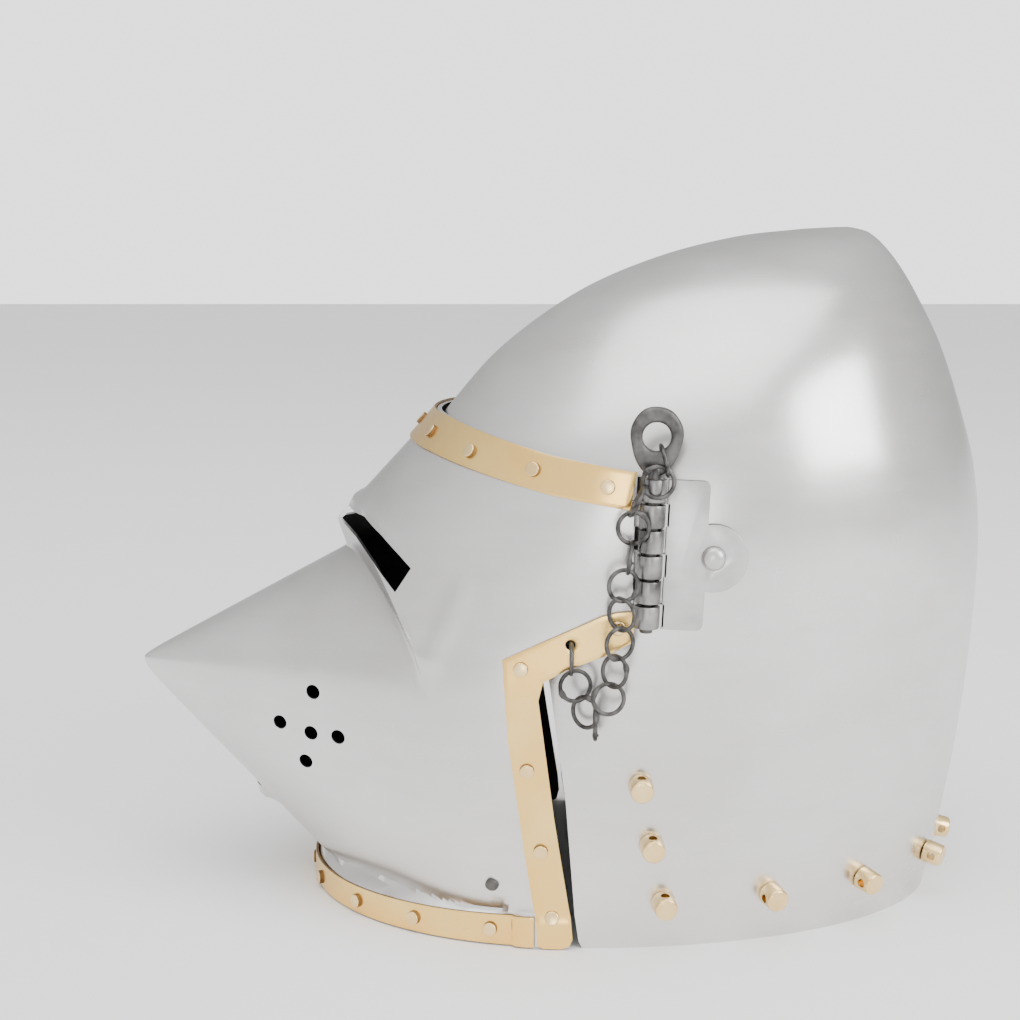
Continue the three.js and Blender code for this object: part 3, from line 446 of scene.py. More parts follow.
visor_rows = LOWER_ROWS + NOSE_ROWS + LIP_ROWS + BROW_ROWS
visor, across_share, up_share = new_sheet("visor_plate", VISOR_COLUMNS, visor_rows)
side = across_share * 2 - 1
angle = np.sign(side) * abs(side) ** COLUMN_EASE * math.radians(VISOR_TURN)
lip, valley = lip_and_valley(abs(angle))
lower = np.concatenate([[0], eased(LOWER_ROWS, LOWER_EASE, True) * TIP_SHARE])
nose = TIP_SHARE + eased(NOSE_ROWS, NOSE_EASE, False) * (1 - TIP_SHARE)
foot_rows = np.concatenate([lower, nose])
row = np.rint(up_share * visor_rows).astype(int)
foot_count = len(foot_rows) - 1
low_z = foot_rows[np.minimum(row, foot_count)] * valley
lip_z = valley + np.clip((row - foot_count) / LIP_ROWS, 0, 1) * (lip - valley)
brow_z = lip + np.clip((row - foot_count - LIP_ROWS) / BROW_ROWS, 0, 1) * (VISOR_TOP - lip)
height = np.where(row <= foot_count, low_z, np.where(row <= foot_count + LIP_ROWS, lip_z, brow_z))
plain = visor_point(angle, height)
set_points(visor, plain + visor_normal(angle, height) * hammered_relief(plain)[:, None])
# The visor's steel mixes in the painted shade colour by a per-vertex painted shade mask.
visor_steel = satin_steel.copy()
visor_steel.name = "visor_steel"
visor_nodes, visor_links = visor_steel.node_tree.nodes, visor_steel.node_tree.links
mix = visor_nodes.new("ShaderNodeMix")
mix.data_type = "RGBA"
mix.inputs[7].default_value = (*PAINTED_SHADE_COLOUR, 1)
painted_shade = visor_nodes.new("ShaderNodeAttribute")
painted_shade.attribute_name = "painted_shade"
visor_shader = visor_nodes["Principled BSDF"]
visor_colour = visor_shader.inputs["Base Color"].links[0].from_socket
visor_links.new(painted_shade.outputs["Fac"], mix.inputs[0])
visor_links.new(visor_colour, mix.inputs[6])
visor_links.new(mix.outputs[2], visor_shader.inputs["Base Color"])
visor.data.materials.append(visor_steel)
# The visor's inner shell takes the near-black painted shade of the inside.
visor.data.materials.append(shaded_inside_steel)
thicken(visor, STEEL_THICK, inner_shade_finish=1)
cut(visor, side_block(BROW_TOP + VISOR_REAR, -CUT_HALF, CUT_HALF), "INTERSECT")
mouth_low, mouth_high = MOUTH_Z - MOUTH_TALL / 2, MOUTH_Z + MOUTH_TALL / 2
mouth_front, mouth_back = MOUTH_Y - MOUTH_DEEP, MOUTH_Y + MOUTH_DEEP
mouth = [
    (mouth_front, mouth_high), (mouth_front, mouth_low), (mouth_back, mouth_low), (mouth_back, mouth_high),
]
cut(visor, side_block(mouth, -MOUTH_HALF, MOUTH_HALF))
cut(visor, side_block(EYE_SLOT, EYE_BRIDGE, CUT_HALF))
cut(visor, side_block(EYE_SLOT, -CUT_HALF, -EYE_BRIDGE))
for y, z in BREATHS:
    cut(visor, side_block(circle(y, z, BREATH_RADIUS, 28), -CUT_HALF, CUT_HALF))
cut(visor, side_block(circle(CHAIN_HOLE_Y, CHAIN_HOLE_Z, CHAIN_HOLE_RADIUS, 20), -CUT_HALF, CUT_HALF))
smooth(visor, 28)
flat = np.empty(len(visor.data.vertices) * 3)
visor.data.vertices.foreach_get("co", flat)
x, y, z = (flat.reshape(-1, 3) / MM - [0, FRAME_Y, 0]).T
# Painted shade mask: full on the facet between valley and lip, and a painted soft shadow fading below the
# valley.
table_angle = np.radians(np.linspace(0, VISOR_TURN, TABLE_STEPS))
vertex_angle = np.arctan2(abs(x), at_height("mid_y", z) - y)
lip_here, valley_here = (np.interp(vertex_angle, table_angle, edge) for edge in lip_and_valley(table_angle))
facet = np.clip((z - valley_here) / FACET_FOOT + FACET_START, 0, 1) * np.clip((lip_here - z) / FACET_EDGE, 0, 1)
under = UNDER_SHARE * np.exp(-np.maximum(valley_here - z, 0) / UNDER_FADE) * (z < valley_here)
tall_enough = np.clip((lip_here - valley_here - FACET_LEAST) / FACET_FADE, 0, 1) * (valley_here > FACET_LOWEST)
shade = PAINTED_SHADE_SHARE * np.maximum(facet, under) * tall_enough
shading = visor.data.attributes.new("painted_shade", "FLOAT", "POINT")
shading.data.foreach_set("value", shade.astype(np.float32))
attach(visor, "visor")
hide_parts("visor")

# Brass edging: strips of thin sheet brass laid on the visor's edges and held by small rivets.
# There is a brow band, a throat band and an L-shaped trim on each side.
BRASS_GAP, BRASS_THICK = 0.4, 1.2
BRASS_TOP = BRASS_GAP + BRASS_THICK
BROW_LOW = [(-80, 196.6), (-66, 196.6), (-54, 194.9), (-34, 190.5), (-6.8, 184.2), (25, 178.9)]
THROAT_TOP = [(-125, 11.4), (-60, 12.6), (-12.9, 13.4)]
THROAT_FOOT, THROAT_LEVEL = 0.6, 5
BAND_COLUMNS, BROW_BAND_ROWS, THROAT_BAND_ROWS, TRIM_ROWS = 120, 8, 6, 8
BROW_END, THROAT_END = (25, 187), (-12.4, 7)
BRASS_SOFT, BRASS_SMOOTH = 0.25, 40
SIDES = (("left", 1), ("right", -1))
TRIM_STATIONS = [
    (25.2, 139.6, 25.2, 127.6), (19, 139.2, 19.5, 124.6), (13, 137.6, 14.4, 122), (-6, 128.7, -0.5, 116.3),
    (-25.4, 119.6, -9.6, 111.2), (-24.35, 104, -11.4, 104), (-23.2, 87, -9.16, 87), (-18.7, 55.5, -5, 55.5),
    (-16.2, 38, -2.2, 38), (-12.2, 13, 1.8, 13), (-11.5, 5, 2.5, 4.6), (-11.2, 1.4, 1.2, 1.6),
    (-9, 0.5, -1.8, 0.5),
]
STATION_STEPS, TRIM_DRILL_FROM, HOLE_SIDES = 6, 40, 20
pale_brass = metal(
    "pale_brass", (0.98, 0.60, 0.17), (1.0, 0.70, 0.25), 0.20, 0.32,
    (60, 60, 60), 40.0, 0.05, 420.0,
)
# Tarnish and painted shadow: near-black brass for the strips' cut edges and the rivet heads' flanks, partly
# tarnish and partly painted shade along the edges.
tarnish_and_shadow_brass = metal(
    "tarnish_and_shadow_brass", (0.16, 0.10, 0.05), (0.32, 0.21, 0.10), 0.4, 0.6,
    (90, 90, 90), 90.0, 0.2, 420.0,
)


def edge_height(outline, y):
    ys, zs = np.array(outline, float).T
    return np.interp(y, ys, zs)


def brass_strip(name, rows, low_edge, top_edge, end, level=None):
    strip, along_share, up = new_sheet(name, BAND_COLUMNS, rows)
    signed = (along_share * 2 - 1) * float(on_visor(*end))
    z = np.full_like(signed, end[1])
    for _ in range(14):
        y = visor_point(abs(signed), z if level is None else np.full_like(z, level))[:, 1]
        z = low_edge(y) + up * (top_edge(y) - low_edge(y))
    read = z if level is None else np.full_like(z, level)
    placed = visor_point(signed, read) + visor_normal(signed, read) * BRASS_TOP
    placed[:, 2] += z - read
    set_points(strip, placed)
    return strip


def finish_brass(strip):
    strip.data.materials.append(pale_brass)
    strip.data.materials.append(tarnish_and_shadow_brass)
    # The strip's rim faces take the dark brass, tarnish and painted shadow.
    thicken(strip, BRASS_THICK, rim_finish=1)


def polish_brass(strip):
    soften_edges(strip, BRASS_SOFT)
    smooth(strip, BRASS_SMOOTH)


brow = brass_strip(
    "brow_band_brass", BROW_BAND_ROWS,
    lambda y: edge_height(BROW_LOW, y), lambda y: edge_height(BROW_TOP, y), BROW_END,
)
finish_brass(brow)
polish_brass(brow)
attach(brow, "visor")
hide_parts("brow_band")
throat = brass_strip(
    "throat_band_brass", THROAT_BAND_ROWS,
    lambda y: np.full_like(y, THROAT_FOOT), lambda y: edge_height(THROAT_TOP, y), THROAT_END, THROAT_LEVEL,
)
finish_brass(throat)
polish_brass(throat)
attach(throat, "visor")
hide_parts("throat_band")
for side_name, hand in SIDES:
    spans = len(TRIM_STATIONS) - 1
    trim, along_share, up = new_sheet(f"trim_{side_name}_brass", spans * STATION_STEPS, TRIM_ROWS)
    stations = np.array(TRIM_STATIONS)
    spot = np.arange(spans + 1)
    outer_y, outer_z, inner_y, inner_z = (np.interp(along_share * spans, spot, row) for row in stations.T)
    y, z = inner_y + up * (outer_y - inner_y), inner_z + up * (outer_z - inner_z)
    trim_angle = on_visor(y, z)
    placed = visor_point(trim_angle, z) + visor_normal(trim_angle, z) * BRASS_TOP
    set_points(trim, placed * [hand, 1, 1])
    if hand > 0:
        trim.data.flip_normals()
    finish_brass(trim)
    hole = circle(CHAIN_HOLE_Y, CHAIN_HOLE_Z, CHAIN_HOLE_RADIUS, HOLE_SIDES)
    cut(trim, side_block(hole, TRIM_DRILL_FROM * hand, CUT_HALF * hand))
    polish_brass(trim)
    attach(trim, "visor")
    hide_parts(f"trim_{side_name}")

# Rivets: small flat brass heads with softened edges, set through the edging into the visor.
# A dark iron screw head of the same make stands low on each cheek.
RIVET_RADIUS, RIVET_RISE, RIVET_FOOT, RIVET_SOFT = 2.9, 1.5, 0.6, 0.5
DOME_CUT, DOME_ROUND, DOME_SINK = 0.05, 0.72, 0.1
FRONT_OF_VISOR = -250.0
BROW_RIVETS = [(-61, 203), (-54, 201.7), (-37.3, 197.6), (-12.8, 193.4), (15.1, 188)]
TRIM_RIVETS = [(-18.2, 116.2), (19.4, 133.3), (-15.8, 75.5), (-10.2, 41.9), (-5.6, 12.6)]
THROAT_RIVETS = [(-110, 4.4), (-103.9, 4.8), (-86, 5.8), (-61.3, 6.4), (-30.2, 6.8)]
SCREW_Y, SCREW_Z, SCREW_RADIUS, SCREW_RISE = -29.7, 25.6, 2.7, 1.5
rivet_brass = metal(
    "rivet_brass", (0.88, 0.60, 0.26), (0.98, 0.75, 0.38), 0.16, 0.30,
    (90, 90, 90), 120.0, 0.12, 500.0,
)
dark_iron = metal(
    "dark_iron", (0.06, 0.058, 0.056), (0.18, 0.174, 0.168), 0.34, 0.60,
    (140, 140, 140), 160.0, 0.55, 520.0,
)


def dome(name, radius, rise):
    bpy.ops.object.select_all(action="DESELECT")
    bpy.ops.mesh.primitive_uv_sphere_add(segments=28, ring_count=14, radius=1)
    head = bpy.context.object
    head.name = head.data.name = name
    bpy.ops.object.mode_set(mode="EDIT")
    bpy.ops.mesh.select_all(action="SELECT")
    bpy.ops.mesh.bisect(plane_co=(0, 0, DOME_CUT), plane_no=(0, 0, 1), use_fill=True, clear_inner=True)
    bpy.ops.object.mode_set(mode="OBJECT")
    for vertex in head.data.vertices:
        x, y, z = vertex.co
        flat = max(z, DOME_CUT) ** DOME_ROUND
        vertex.co = (x * radius * MM, y * radius * MM, (flat - DOME_SINK) * rise * MM)
    return head


def rivet_head(name, radius, rise):
    bpy.ops.object.select_all(action="DESELECT")
    bpy.ops.mesh.primitive_cylinder_add(vertices=36, radius=radius * MM, depth=(rise + RIVET_FOOT) * MM)
    head = bpy.context.object
    head.name = head.data.name = name
    head.data.transform(Matrix.Translation((0, 0, (rise - RIVET_FOOT) / 2 * MM)))
    soften_edges(head, RIVET_SOFT, 3)
    # Flank faces take the second material: on brass rivets a dark tarnish and painted contact shadow, on screws
    # the same iron.
    for face in head.data.polygons:
        face.material_index = 1 if abs(face.normal.z) < 0.3 else 0
    return head


def stand_on(piece, point, normal, hand=1):
    foot = Vector((point[0] * hand, point[1] + FRAME_Y, point[2])) * MM
    axis = Vector((normal[0] * hand, normal[1], normal[2]))
    piece.data.transform(Matrix.Translation(foot) @ axis.to_track_quat("Z", "Y").to_matrix().to_4x4())


def rivet(name, y, z, hand, lift, radius, rise, finish, edge_finish, node):
    spot_angle = on_visor(np.array([y]), np.array([float(z)]))
    point = visor_point(spot_angle, np.array([float(z)]))[0]
    normal = visor_normal(spot_angle, np.array([float(z)]))[0]
    head = rivet_head(name, radius, rise)
    stand_on(head, point + normal * lift, normal, hand)
    smooth(head, 50)
    head.data.materials.append(finish)
    head.data.materials.append(edge_finish)
    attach(head, "visor")
    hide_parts(node)


for group, spots, has_middle in (
    ("brow_rivet", BROW_RIVETS, True), ("trim_rivet", TRIM_RIVETS, False),
    ("throat_rivet", THROAT_RIVETS, True),
):
    count = 1
    for n, (y, z) in enumerate(spots):
        on_middle = has_middle and n == 0
        for hand in ((1,) if on_middle else (1, -1)):
            node = f"{group}_{count}"
            rivet(
                f"{node}_head", FRONT_OF_VISOR if on_middle else y, z, hand, BRASS_TOP, RIVET_RADIUS, RIVET_RISE,
                rivet_brass, tarnish_and_shadow_brass, node,
            )
            count += 1
for side_name, hand in SIDES:
    rivet(
        f"screw_{side_name}_head", SCREW_Y, SCREW_Z, hand, 0, SCREW_RADIUS, SCREW_RISE,
        dark_iron, dark_iron, f"screw_{side_name}",
    )

# Vervelles: drilled brass posts riveted to the skull, for a cord that holds the mail curtain.
# Three stand by the face opening on each side and seven more follow the rim.
VERVELLE_FOOT, VERVELLE_HEAD, VERVELLE_TALL, VERVELLE_BORE = 5.1, 4.6, 8.2, 1.8
VERVELLE_DRILL, VERVELLE_BORE_UP, VERVELLE_LIFT, VERVELLE_SOFT = 16, 0.52, 0.1, 1.0
VERVELLES = [
    (29.1, 68.6, True), (33.7, 43.8, True), (38.8, 19.2, True),
    (83, 19.6, False), (124, 19.4, False), (157.5, 19.6, False),
]
VERVELLE_BACK_Z = 20.2


def on_skull(y, z):
    low, high = 0.0, float(SKULL_TOP_ROW)
    for _ in range(40):
        place = (low + high) / 2
        mid = skull_point(np.array(place), np.array(math.pi / 2))[1]
        end = skull_point(np.array(place), np.array(0.0 if y < mid else math.pi))[1]
        reach = min(abs((y - mid) / (end - mid)), 1)
        angle = math.acos(reach) if y < mid else math.pi - math.acos(reach)
        if skull_point(np.array(place), np.array(angle))[2] < z:
            low = place
        else:
            high = place
    return np.array(place), np.array(angle)


def vervelle(number, place, angle, hand, upright):
    bpy.ops.object.select_all(action="DESELECT")
    bpy.ops.mesh.primitive_cylinder_add(vertices=32, radius=VERVELLE_HEAD * MM, depth=VERVELLE_TALL * MM)
    post = bpy.context.object
    post.name = post.data.name = f"vervelle_post_{number}"
    for vertex in post.data.vertices:
        if vertex.co.z < 0:
            vertex.co.x *= VERVELLE_FOOT / VERVELLE_HEAD
            vertex.co.y *= VERVELLE_FOOT / VERVELLE_HEAD
        vertex.co.z += VERVELLE_TALL / 2 * MM
    soften_edges(post, VERVELLE_SOFT, 3)
    bpy.ops.object.select_all(action="DESELECT")
    bpy.ops.mesh.primitive_cylinder_add(
        vertices=20, radius=VERVELLE_BORE * MM, depth=VERVELLE_DRILL * MM, rotation=(0, math.pi / 2, 0),
    )
    drill = bpy.context.object
    bpy.ops.object.transform_apply(location=True, rotation=True, scale=True)
    drill.data.transform(Matrix.Translation((0, 0, VERVELLE_TALL * VERVELLE_BORE_UP * MM)))
    cut(post, drill)
    point, normal = skull_point(place, angle), skull_normal(place, angle)
    axis = Vector((normal[0] * hand, normal[1], normal[2]))
    level = Vector((0, 0, 1)).cross(axis).normalized()
    bore = axis.cross(level).normalized() if upright else level
    third = axis.cross(bore)
    turn_to = Matrix((bore, third, axis)).transposed().to_4x4()
    foot = Vector((point[0] * hand, point[1] + FRAME_Y, point[2])) * MM + axis * VERVELLE_LIFT * MM
    post.data.transform(Matrix.Translation(foot) @ turn_to)
    smooth(post, 35)
    post.data.materials.append(rivet_brass)
    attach(post, "skull")
    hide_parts(f"vervelle_{number}")


vervelle_count = 1
for y, z, upright in VERVELLES:
    post_place, post_angle = on_skull(y, z)
    for hand in (1, -1):
        vervelle(vervelle_count, post_place, post_angle, hand, upright)
        vervelle_count += 1
back_place = np.array(VERVELLE_BACK_Z / SKULL["back_z"][1])
vervelle(vervelle_count, back_place, np.array(math.pi), 1, False)

# Hinge leaves: cut from steel plate, with the knuckles rolled over a mandrel.
# The rear leaf turns on the pivot rivet; the front leaf is fixed inside the visor's ear.
HINGE_LEAN = math.radians(-2.6)
BARREL_X, BARREL_Y, BARREL_RADIUS, BARREL_BOTTOM = 108.3, 31.2, 5, 132
BARREL_PITCH, KNUCKLES, KNUCKLE_SOFT, KNUCKLE_DRILL = 9.85, 6, 0.45, 2
KNUCKLE_GAP, KNUCKLE_WALL = 0.5, 1.8
LEAF_INNER, LEAF_THICK, LEAF_FRONT, LEAF_BACK, LEAF_LOW, LEAF_HIGH = 103.85, 2, 37, 53.2, 131.6, 190.2
LEAF_CORNER, LEAF_SOFT, LEAF_DRILL_FROM, TAB_RADIUS, TAB_STEPS = 2.5, 0.3, 90, 13.3, 34
TONGUE_FRONT, TONGUE_BACK = 32.5, 38
hinge_steel = metal(
    "hinge_steel", (0.46, 0.452, 0.444), (0.62, 0.61, 0.60), 0.24, 0.38,
    (70, 70, 300), 60.0, 0.10, 420.0,
)
barrel_steel = metal(
    "barrel_steel", (0.11, 0.108, 0.105), (0.36, 0.353, 0.346), 0.24, 0.42,
    (120, 120, 60), 90.0, 0.2, 420.0,
)
# Painted shadow: near-black steel on the rear leaf's edges, outlining the leaf with a painted shadow line.
edge_shadow_steel = metal(
    "edge_shadow_steel", (0.06, 0.058, 0.056), (0.16, 0.155, 0.15), 0.4, 0.6,
    (90, 90, 90), 90.0, 0.2, 420.0,
)


def lean_hinge(piece, hand):
    middle = Vector((0, (PIVOT_Y + FRAME_Y) * MM, PIVOT_Z * MM))
    lean = Matrix.Translation(middle) @ Matrix.Rotation(HINGE_LEAN, 4, "X") @ Matrix.Translation(-middle)
    piece.data.transform(lean)
    if hand < 0:
        piece.data.transform(Matrix.Scale(-1, 4, Vector((1, 0, 0))))
        piece.data.flip_normals()


def upright_block(section, z_from, z_to):
    return block([(x, y, z_from) for x, y in section], (0, 0, (z_to - z_from) * MM))


def ring_section(x, y, radius, sides):
    turns = np.linspace(0, 2 * math.pi, sides, endpoint=False)
    return [(x + radius * math.cos(t), y + radius * math.sin(t)) for t in turns]


def knuckle(n):
    foot = BARREL_BOTTOM + n * BARREL_PITCH + KNUCKLE_GAP
    top = foot + BARREL_PITCH - 2 * KNUCKLE_GAP
    roll = upright_block(ring_section(BARREL_X, BARREL_Y, BARREL_RADIUS, 36), foot, top)
    bore = ring_section(BARREL_X, BARREL_Y, BARREL_RADIUS - KNUCKLE_WALL, 28)
    cut(roll, upright_block(bore, foot - KNUCKLE_DRILL, top + KNUCKLE_DRILL))
    soften_edges(roll, KNUCKLE_SOFT)
    roll.data.materials.append(barrel_steel)
    return roll, foot, top


def rounded_leaf():
    outline = []
    corners = [
        (LEAF_FRONT, LEAF_LOW, None), (LEAF_BACK, LEAF_LOW, -90),
        (LEAF_BACK, LEAF_HIGH, 0), (LEAF_FRONT, LEAF_HIGH, None),
    ]
    neck = math.sqrt(TAB_RADIUS ** 2 - (LEAF_BACK - PIVOT_Y) ** 2)
    for y, z, start in corners:
        if start is None:
            outline.append((y, z))
            continue
        centre_y, centre_z = y - LEAF_CORNER, z + (LEAF_CORNER if z == LEAF_LOW else -LEAF_CORNER)
        for step in range(6):
            t = math.radians(start + step * 18)
            outline.append((centre_y + LEAF_CORNER * math.cos(t), centre_z + LEAF_CORNER * math.sin(t)))
        if start == -90:
            first = math.atan2(-neck, LEAF_BACK - PIVOT_Y)
            for t in np.linspace(first, -first, TAB_STEPS):
                outline.append((PIVOT_Y + TAB_RADIUS * math.cos(t), PIVOT_Z + TAB_RADIUS * math.sin(t)))
    return outline


def join(base, parts):
    bpy.ops.object.select_all(action="DESELECT")
    for part in parts:
        part.select_set(True)
    base.select_set(True)
    bpy.context.view_layer.objects.active = base
    bpy.ops.object.join()


LEAF_SECTION = [(99.8, 9.5), (101.6, 24.5), (103.0, 24.5), (101.2, 9.5)]
STRAP_SECTION = [
    (101.6, 23.5), (101.6, 25.9), (104.6, 30), (106.4, 29.4), (105.6, 28), (103.0, 25.1), (103.0, 23.5),
]
VISOR_LEAF_LOW, VISOR_LEAF_HIGH = 133.2, 189.4
for side_name, hand in SIDES:
    rear = side_block(rounded_leaf(), LEAF_INNER, LEAF_INNER + LEAF_THICK)
    rear.name = rear.data.name = f"rear_leaf_{side_name}"
    cut(rear, side_block(circle(PIVOT_Y, PIVOT_Z, PIVOT_BORE, 24), LEAF_DRILL_FROM, CUT_HALF))
    rear.data.materials.append(hinge_steel)
    front = upright_block(LEAF_SECTION, VISOR_LEAF_LOW, VISOR_LEAF_HIGH)
    front.name = front.data.name = f"front_leaf_{side_name}"
    front.data.materials.append(hinge_steel)
    rear_parts, front_parts = [], []
    for n in range(KNUCKLES):
        roll, foot, top = knuckle(n)
        if n % 2 == 0:
            tongue_outline = [(TONGUE_FRONT, foot), (TONGUE_BACK, foot), (TONGUE_BACK, top), (TONGUE_FRONT, top)]
            tongue = side_block(tongue_outline, LEAF_INNER, LEAF_INNER + LEAF_THICK)
            tongue.data.materials.append(hinge_steel)
            rear_parts += [roll, tongue]
        else:
            strap = upright_block(STRAP_SECTION, foot, top)
            strap.data.materials.append(hinge_steel)
            front_parts += [roll, strap]
    # The rear leaf's edge faces take the painted shadow steel.
    rear.data.materials.append(edge_shadow_steel)
    for face in rear.data.polygons:
        face.material_index = 1 if abs(face.normal.x) < 0.5 else 0
    soften_edges(rear, LEAF_SOFT)
    join(rear, rear_parts)
    join(front, front_parts)
    for leaf, node in ((rear, f"skull_leaf_{side_name}"), (front, f"visor_leaf_{side_name}")):
        lean_hinge(leaf, hand)
        smooth(leaf, 35)
        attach(leaf, "visor")
        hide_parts(node)

# Pivot rivets: round-headed steel rivets that carry the hinge on the skull.
# Each is headed over inside the bowl, so the whole visor tilts on the pair.
PIVOT_HEAD, PIVOT_RISE, PIVOT_SHANK, PIVOT_INNER_HEAD = 4.7, 3.1, 3.0, 5
PIVOT_LIFT, PIVOT_SHANK_OVER, INNER_HEAD_FROM, INNER_HEAD_MID, INNER_HEAD_TO = 0.3, 0.4, 2.7, 2, 1.3
leaf_outer = LEAF_INNER + LEAF_THICK
skull_inside = float(skull_point(*on_skull(PIVOT_Y, PIVOT_Z))[0]) - STEEL_THICK
for side_name, hand in SIDES:
    boss = dome(f"pivot_head_{side_name}", PIVOT_HEAD, PIVOT_RISE)
    stand_on(boss, (leaf_outer + PIVOT_LIFT, PIVOT_Y, PIVOT_Z), (1, 0, 0), hand)
    shank_parts = []
    for radius, x_from, x_to in (
        (PIVOT_SHANK, skull_inside - INNER_HEAD_MID, leaf_outer + PIVOT_SHANK_OVER),
        (PIVOT_INNER_HEAD, skull_inside - INNER_HEAD_FROM, skull_inside - INNER_HEAD_TO),
    ):
        shank_parts.append(side_block(circle(PIVOT_Y, PIVOT_Z, radius, 24), x_from * hand, x_to * hand))
    join(boss, shank_parts)
    smooth(boss, 40)
    boss.data.materials.clear()
    boss.data.materials.append(hinge_steel)
    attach(boss, "skull")
    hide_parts(f"pivot_rivet_{side_name}")

# Draw pins: forged iron pins through the barrels, each with a flattened eye at the top.
# Pulled up by the eye, a pin frees the visor from its hinge on that side.
PIN_RADIUS, PIN_LOW, PIN_NECK, EYE_Z, EYE_FLAT = 2.6, 130.6, 195, 206.8, 4.4
EYE_SIDE, EYE_UP, EYE_DOWN, EYE_HOLE = 10.2, 1.4, 5.0, 5.4
EYE_TUBE, EYE_SQUARE, FLAT_SQUARE, PIN_SOFT = 0.25, 0.75, 0.7, 0.6
FORGE_WAVES = ((0.012, 3, 0.7), (0.008, 7, 0))
for side_name, hand in SIDES:
    bpy.ops.object.select_all(action="DESELECT")
    bpy.ops.mesh.primitive_torus_add(
        major_segments=64, minor_segments=16, major_radius=1, minor_radius=EYE_TUBE,
    )
    pin = bpy.context.object
    pin.name = pin.data.name = f"draw_pin_{side_name}"
    spots = []
    for vertex in pin.data.vertices:
        x, y, z = vertex.co
        t = math.atan2(y, x)
        out_share, thick_share = (math.hypot(x, y) - 1) / EYE_TUBE, z / EYE_TUBE
        outer = EYE_SIDE + (EYE_UP * math.sin(t) ** 2 if t > 0 else EYE_DOWN * math.sin(t) ** 4)
        uneven = 1 + sum(deep * math.sin(times * t + start) for deep, times, start in FORGE_WAVES)
        across_ring = 0.5 + 0.5 * math.copysign(abs(out_share) ** EYE_SQUARE, out_share)
        reach = EYE_HOLE + (outer * uneven - EYE_HOLE) * across_ring
        flat = math.copysign(abs(thick_share) ** FLAT_SQUARE, thick_share) * EYE_FLAT / 2
        spots.append((BARREL_X + flat, BARREL_Y + reach * math.cos(t), EYE_Z + reach * math.sin(t)))
    set_points(pin, spots)
    face_outward()
    shank = upright_block(ring_section(BARREL_X, BARREL_Y, PIN_RADIUS, 24), PIN_LOW, PIN_NECK)
    soften_edges(shank, PIN_SOFT, 2)
    join(pin, [shank])
    lean_hinge(pin, hand)
    smooth(pin, 45)
    pin.data.materials.clear()
    pin.data.materials.append(dark_iron)
    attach(pin, "visor")
    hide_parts(f"hinge_pin_{side_name}")

# Chains: iron rings, lapped and riveted shut, that keep each draw pin from being lost.
# One end hangs in the pin's eye and the other in a hole through the visor's brass trim.
RING_RADIUS, RING_WIRE, RING_BEAR, LOWEST_RING = 6.05, 0.85, 0.75, 10
RING_TUBE, LAP_TURN, LAP_HALF, LAP_WIDE, LAP_THICK = 0.2, 2.399963, 0.24, 0.55, 0.25
STUD_RADIUS, STUD_RISE, STUD_OFF = 0.62, 0.5, 1.2
# Each row is one ring: the place of its middle (x, y, z), then its turn and its nod in degrees.
CHAIN = [
    (109.6, 36.3, 198.9, 90, 14), (116.8, 32.2, 187, 5, 0), (117.2, 18.4, 178, 88, -27),
    (115.4, 23.6, 169.4, 10, 0), (115.4, 22.8, 158.8, 85, -8), (115.4, 20, 148.4, 20, 0),
    (115.2, 20, 137.4, -40, 0), (114.8, 19.4, 126.6, 30, 0), (114.2, 17.4, 116, -45, 8),
    (113.6, 15.2, 105.4, 10, 0), (111.5, 10.5, 96.5, 88, 0), (108.8, 6.4, 101.2, -40, 0),
    (108.4, 2.8, 111, 12, 0), (106.2, 1.2, 121, 90, 0),
]
ring_iron = metal(
    "ring_iron", (0.035, 0.034, 0.033), (0.16, 0.155, 0.15), 0.30, 0.52,
    (200, 200, 200), 260.0, 0.6, 700.0,
)
ring_spots = [np.array(row[:3], float) for row in CHAIN]


def ring_axes(index):
    turn_angle, nod = math.radians(CHAIN[index][3]), math.radians(CHAIN[index][4])
    level = math.cos(nod)
    facing = np.array([level * math.cos(turn_angle), level * math.sin(turn_angle), math.sin(nod)])
    across = np.array([-math.sin(turn_angle), math.cos(turn_angle), 0])
    return facing, across, np.cross(facing, across)


def ring_line(index):
    facing, across, up = ring_axes(index)
    t = np.linspace(0, 2 * math.pi, 60, endpoint=False)[:, None]
    return ring_spots[index] + RING_RADIUS * (across * np.cos(t) + up * np.sin(t))


def ring_distance(one, other):
    return np.linalg.norm(ring_line(one)[:, None] - ring_line(other)[None], axis=2).min()


def hang_from(upper, lower):
    way = ring_spots[lower] - ring_spots[upper]
    way = way / np.linalg.norm(way)
    near, far = RING_RADIUS * 1.2, RING_RADIUS * 2
    for _ in range(16):
        reach = (near + far) / 2
        ring_spots[lower] = ring_spots[upper] + way * reach
        if ring_distance(upper, lower) > RING_BEAR:
            near = reach
        else:
            far = reach


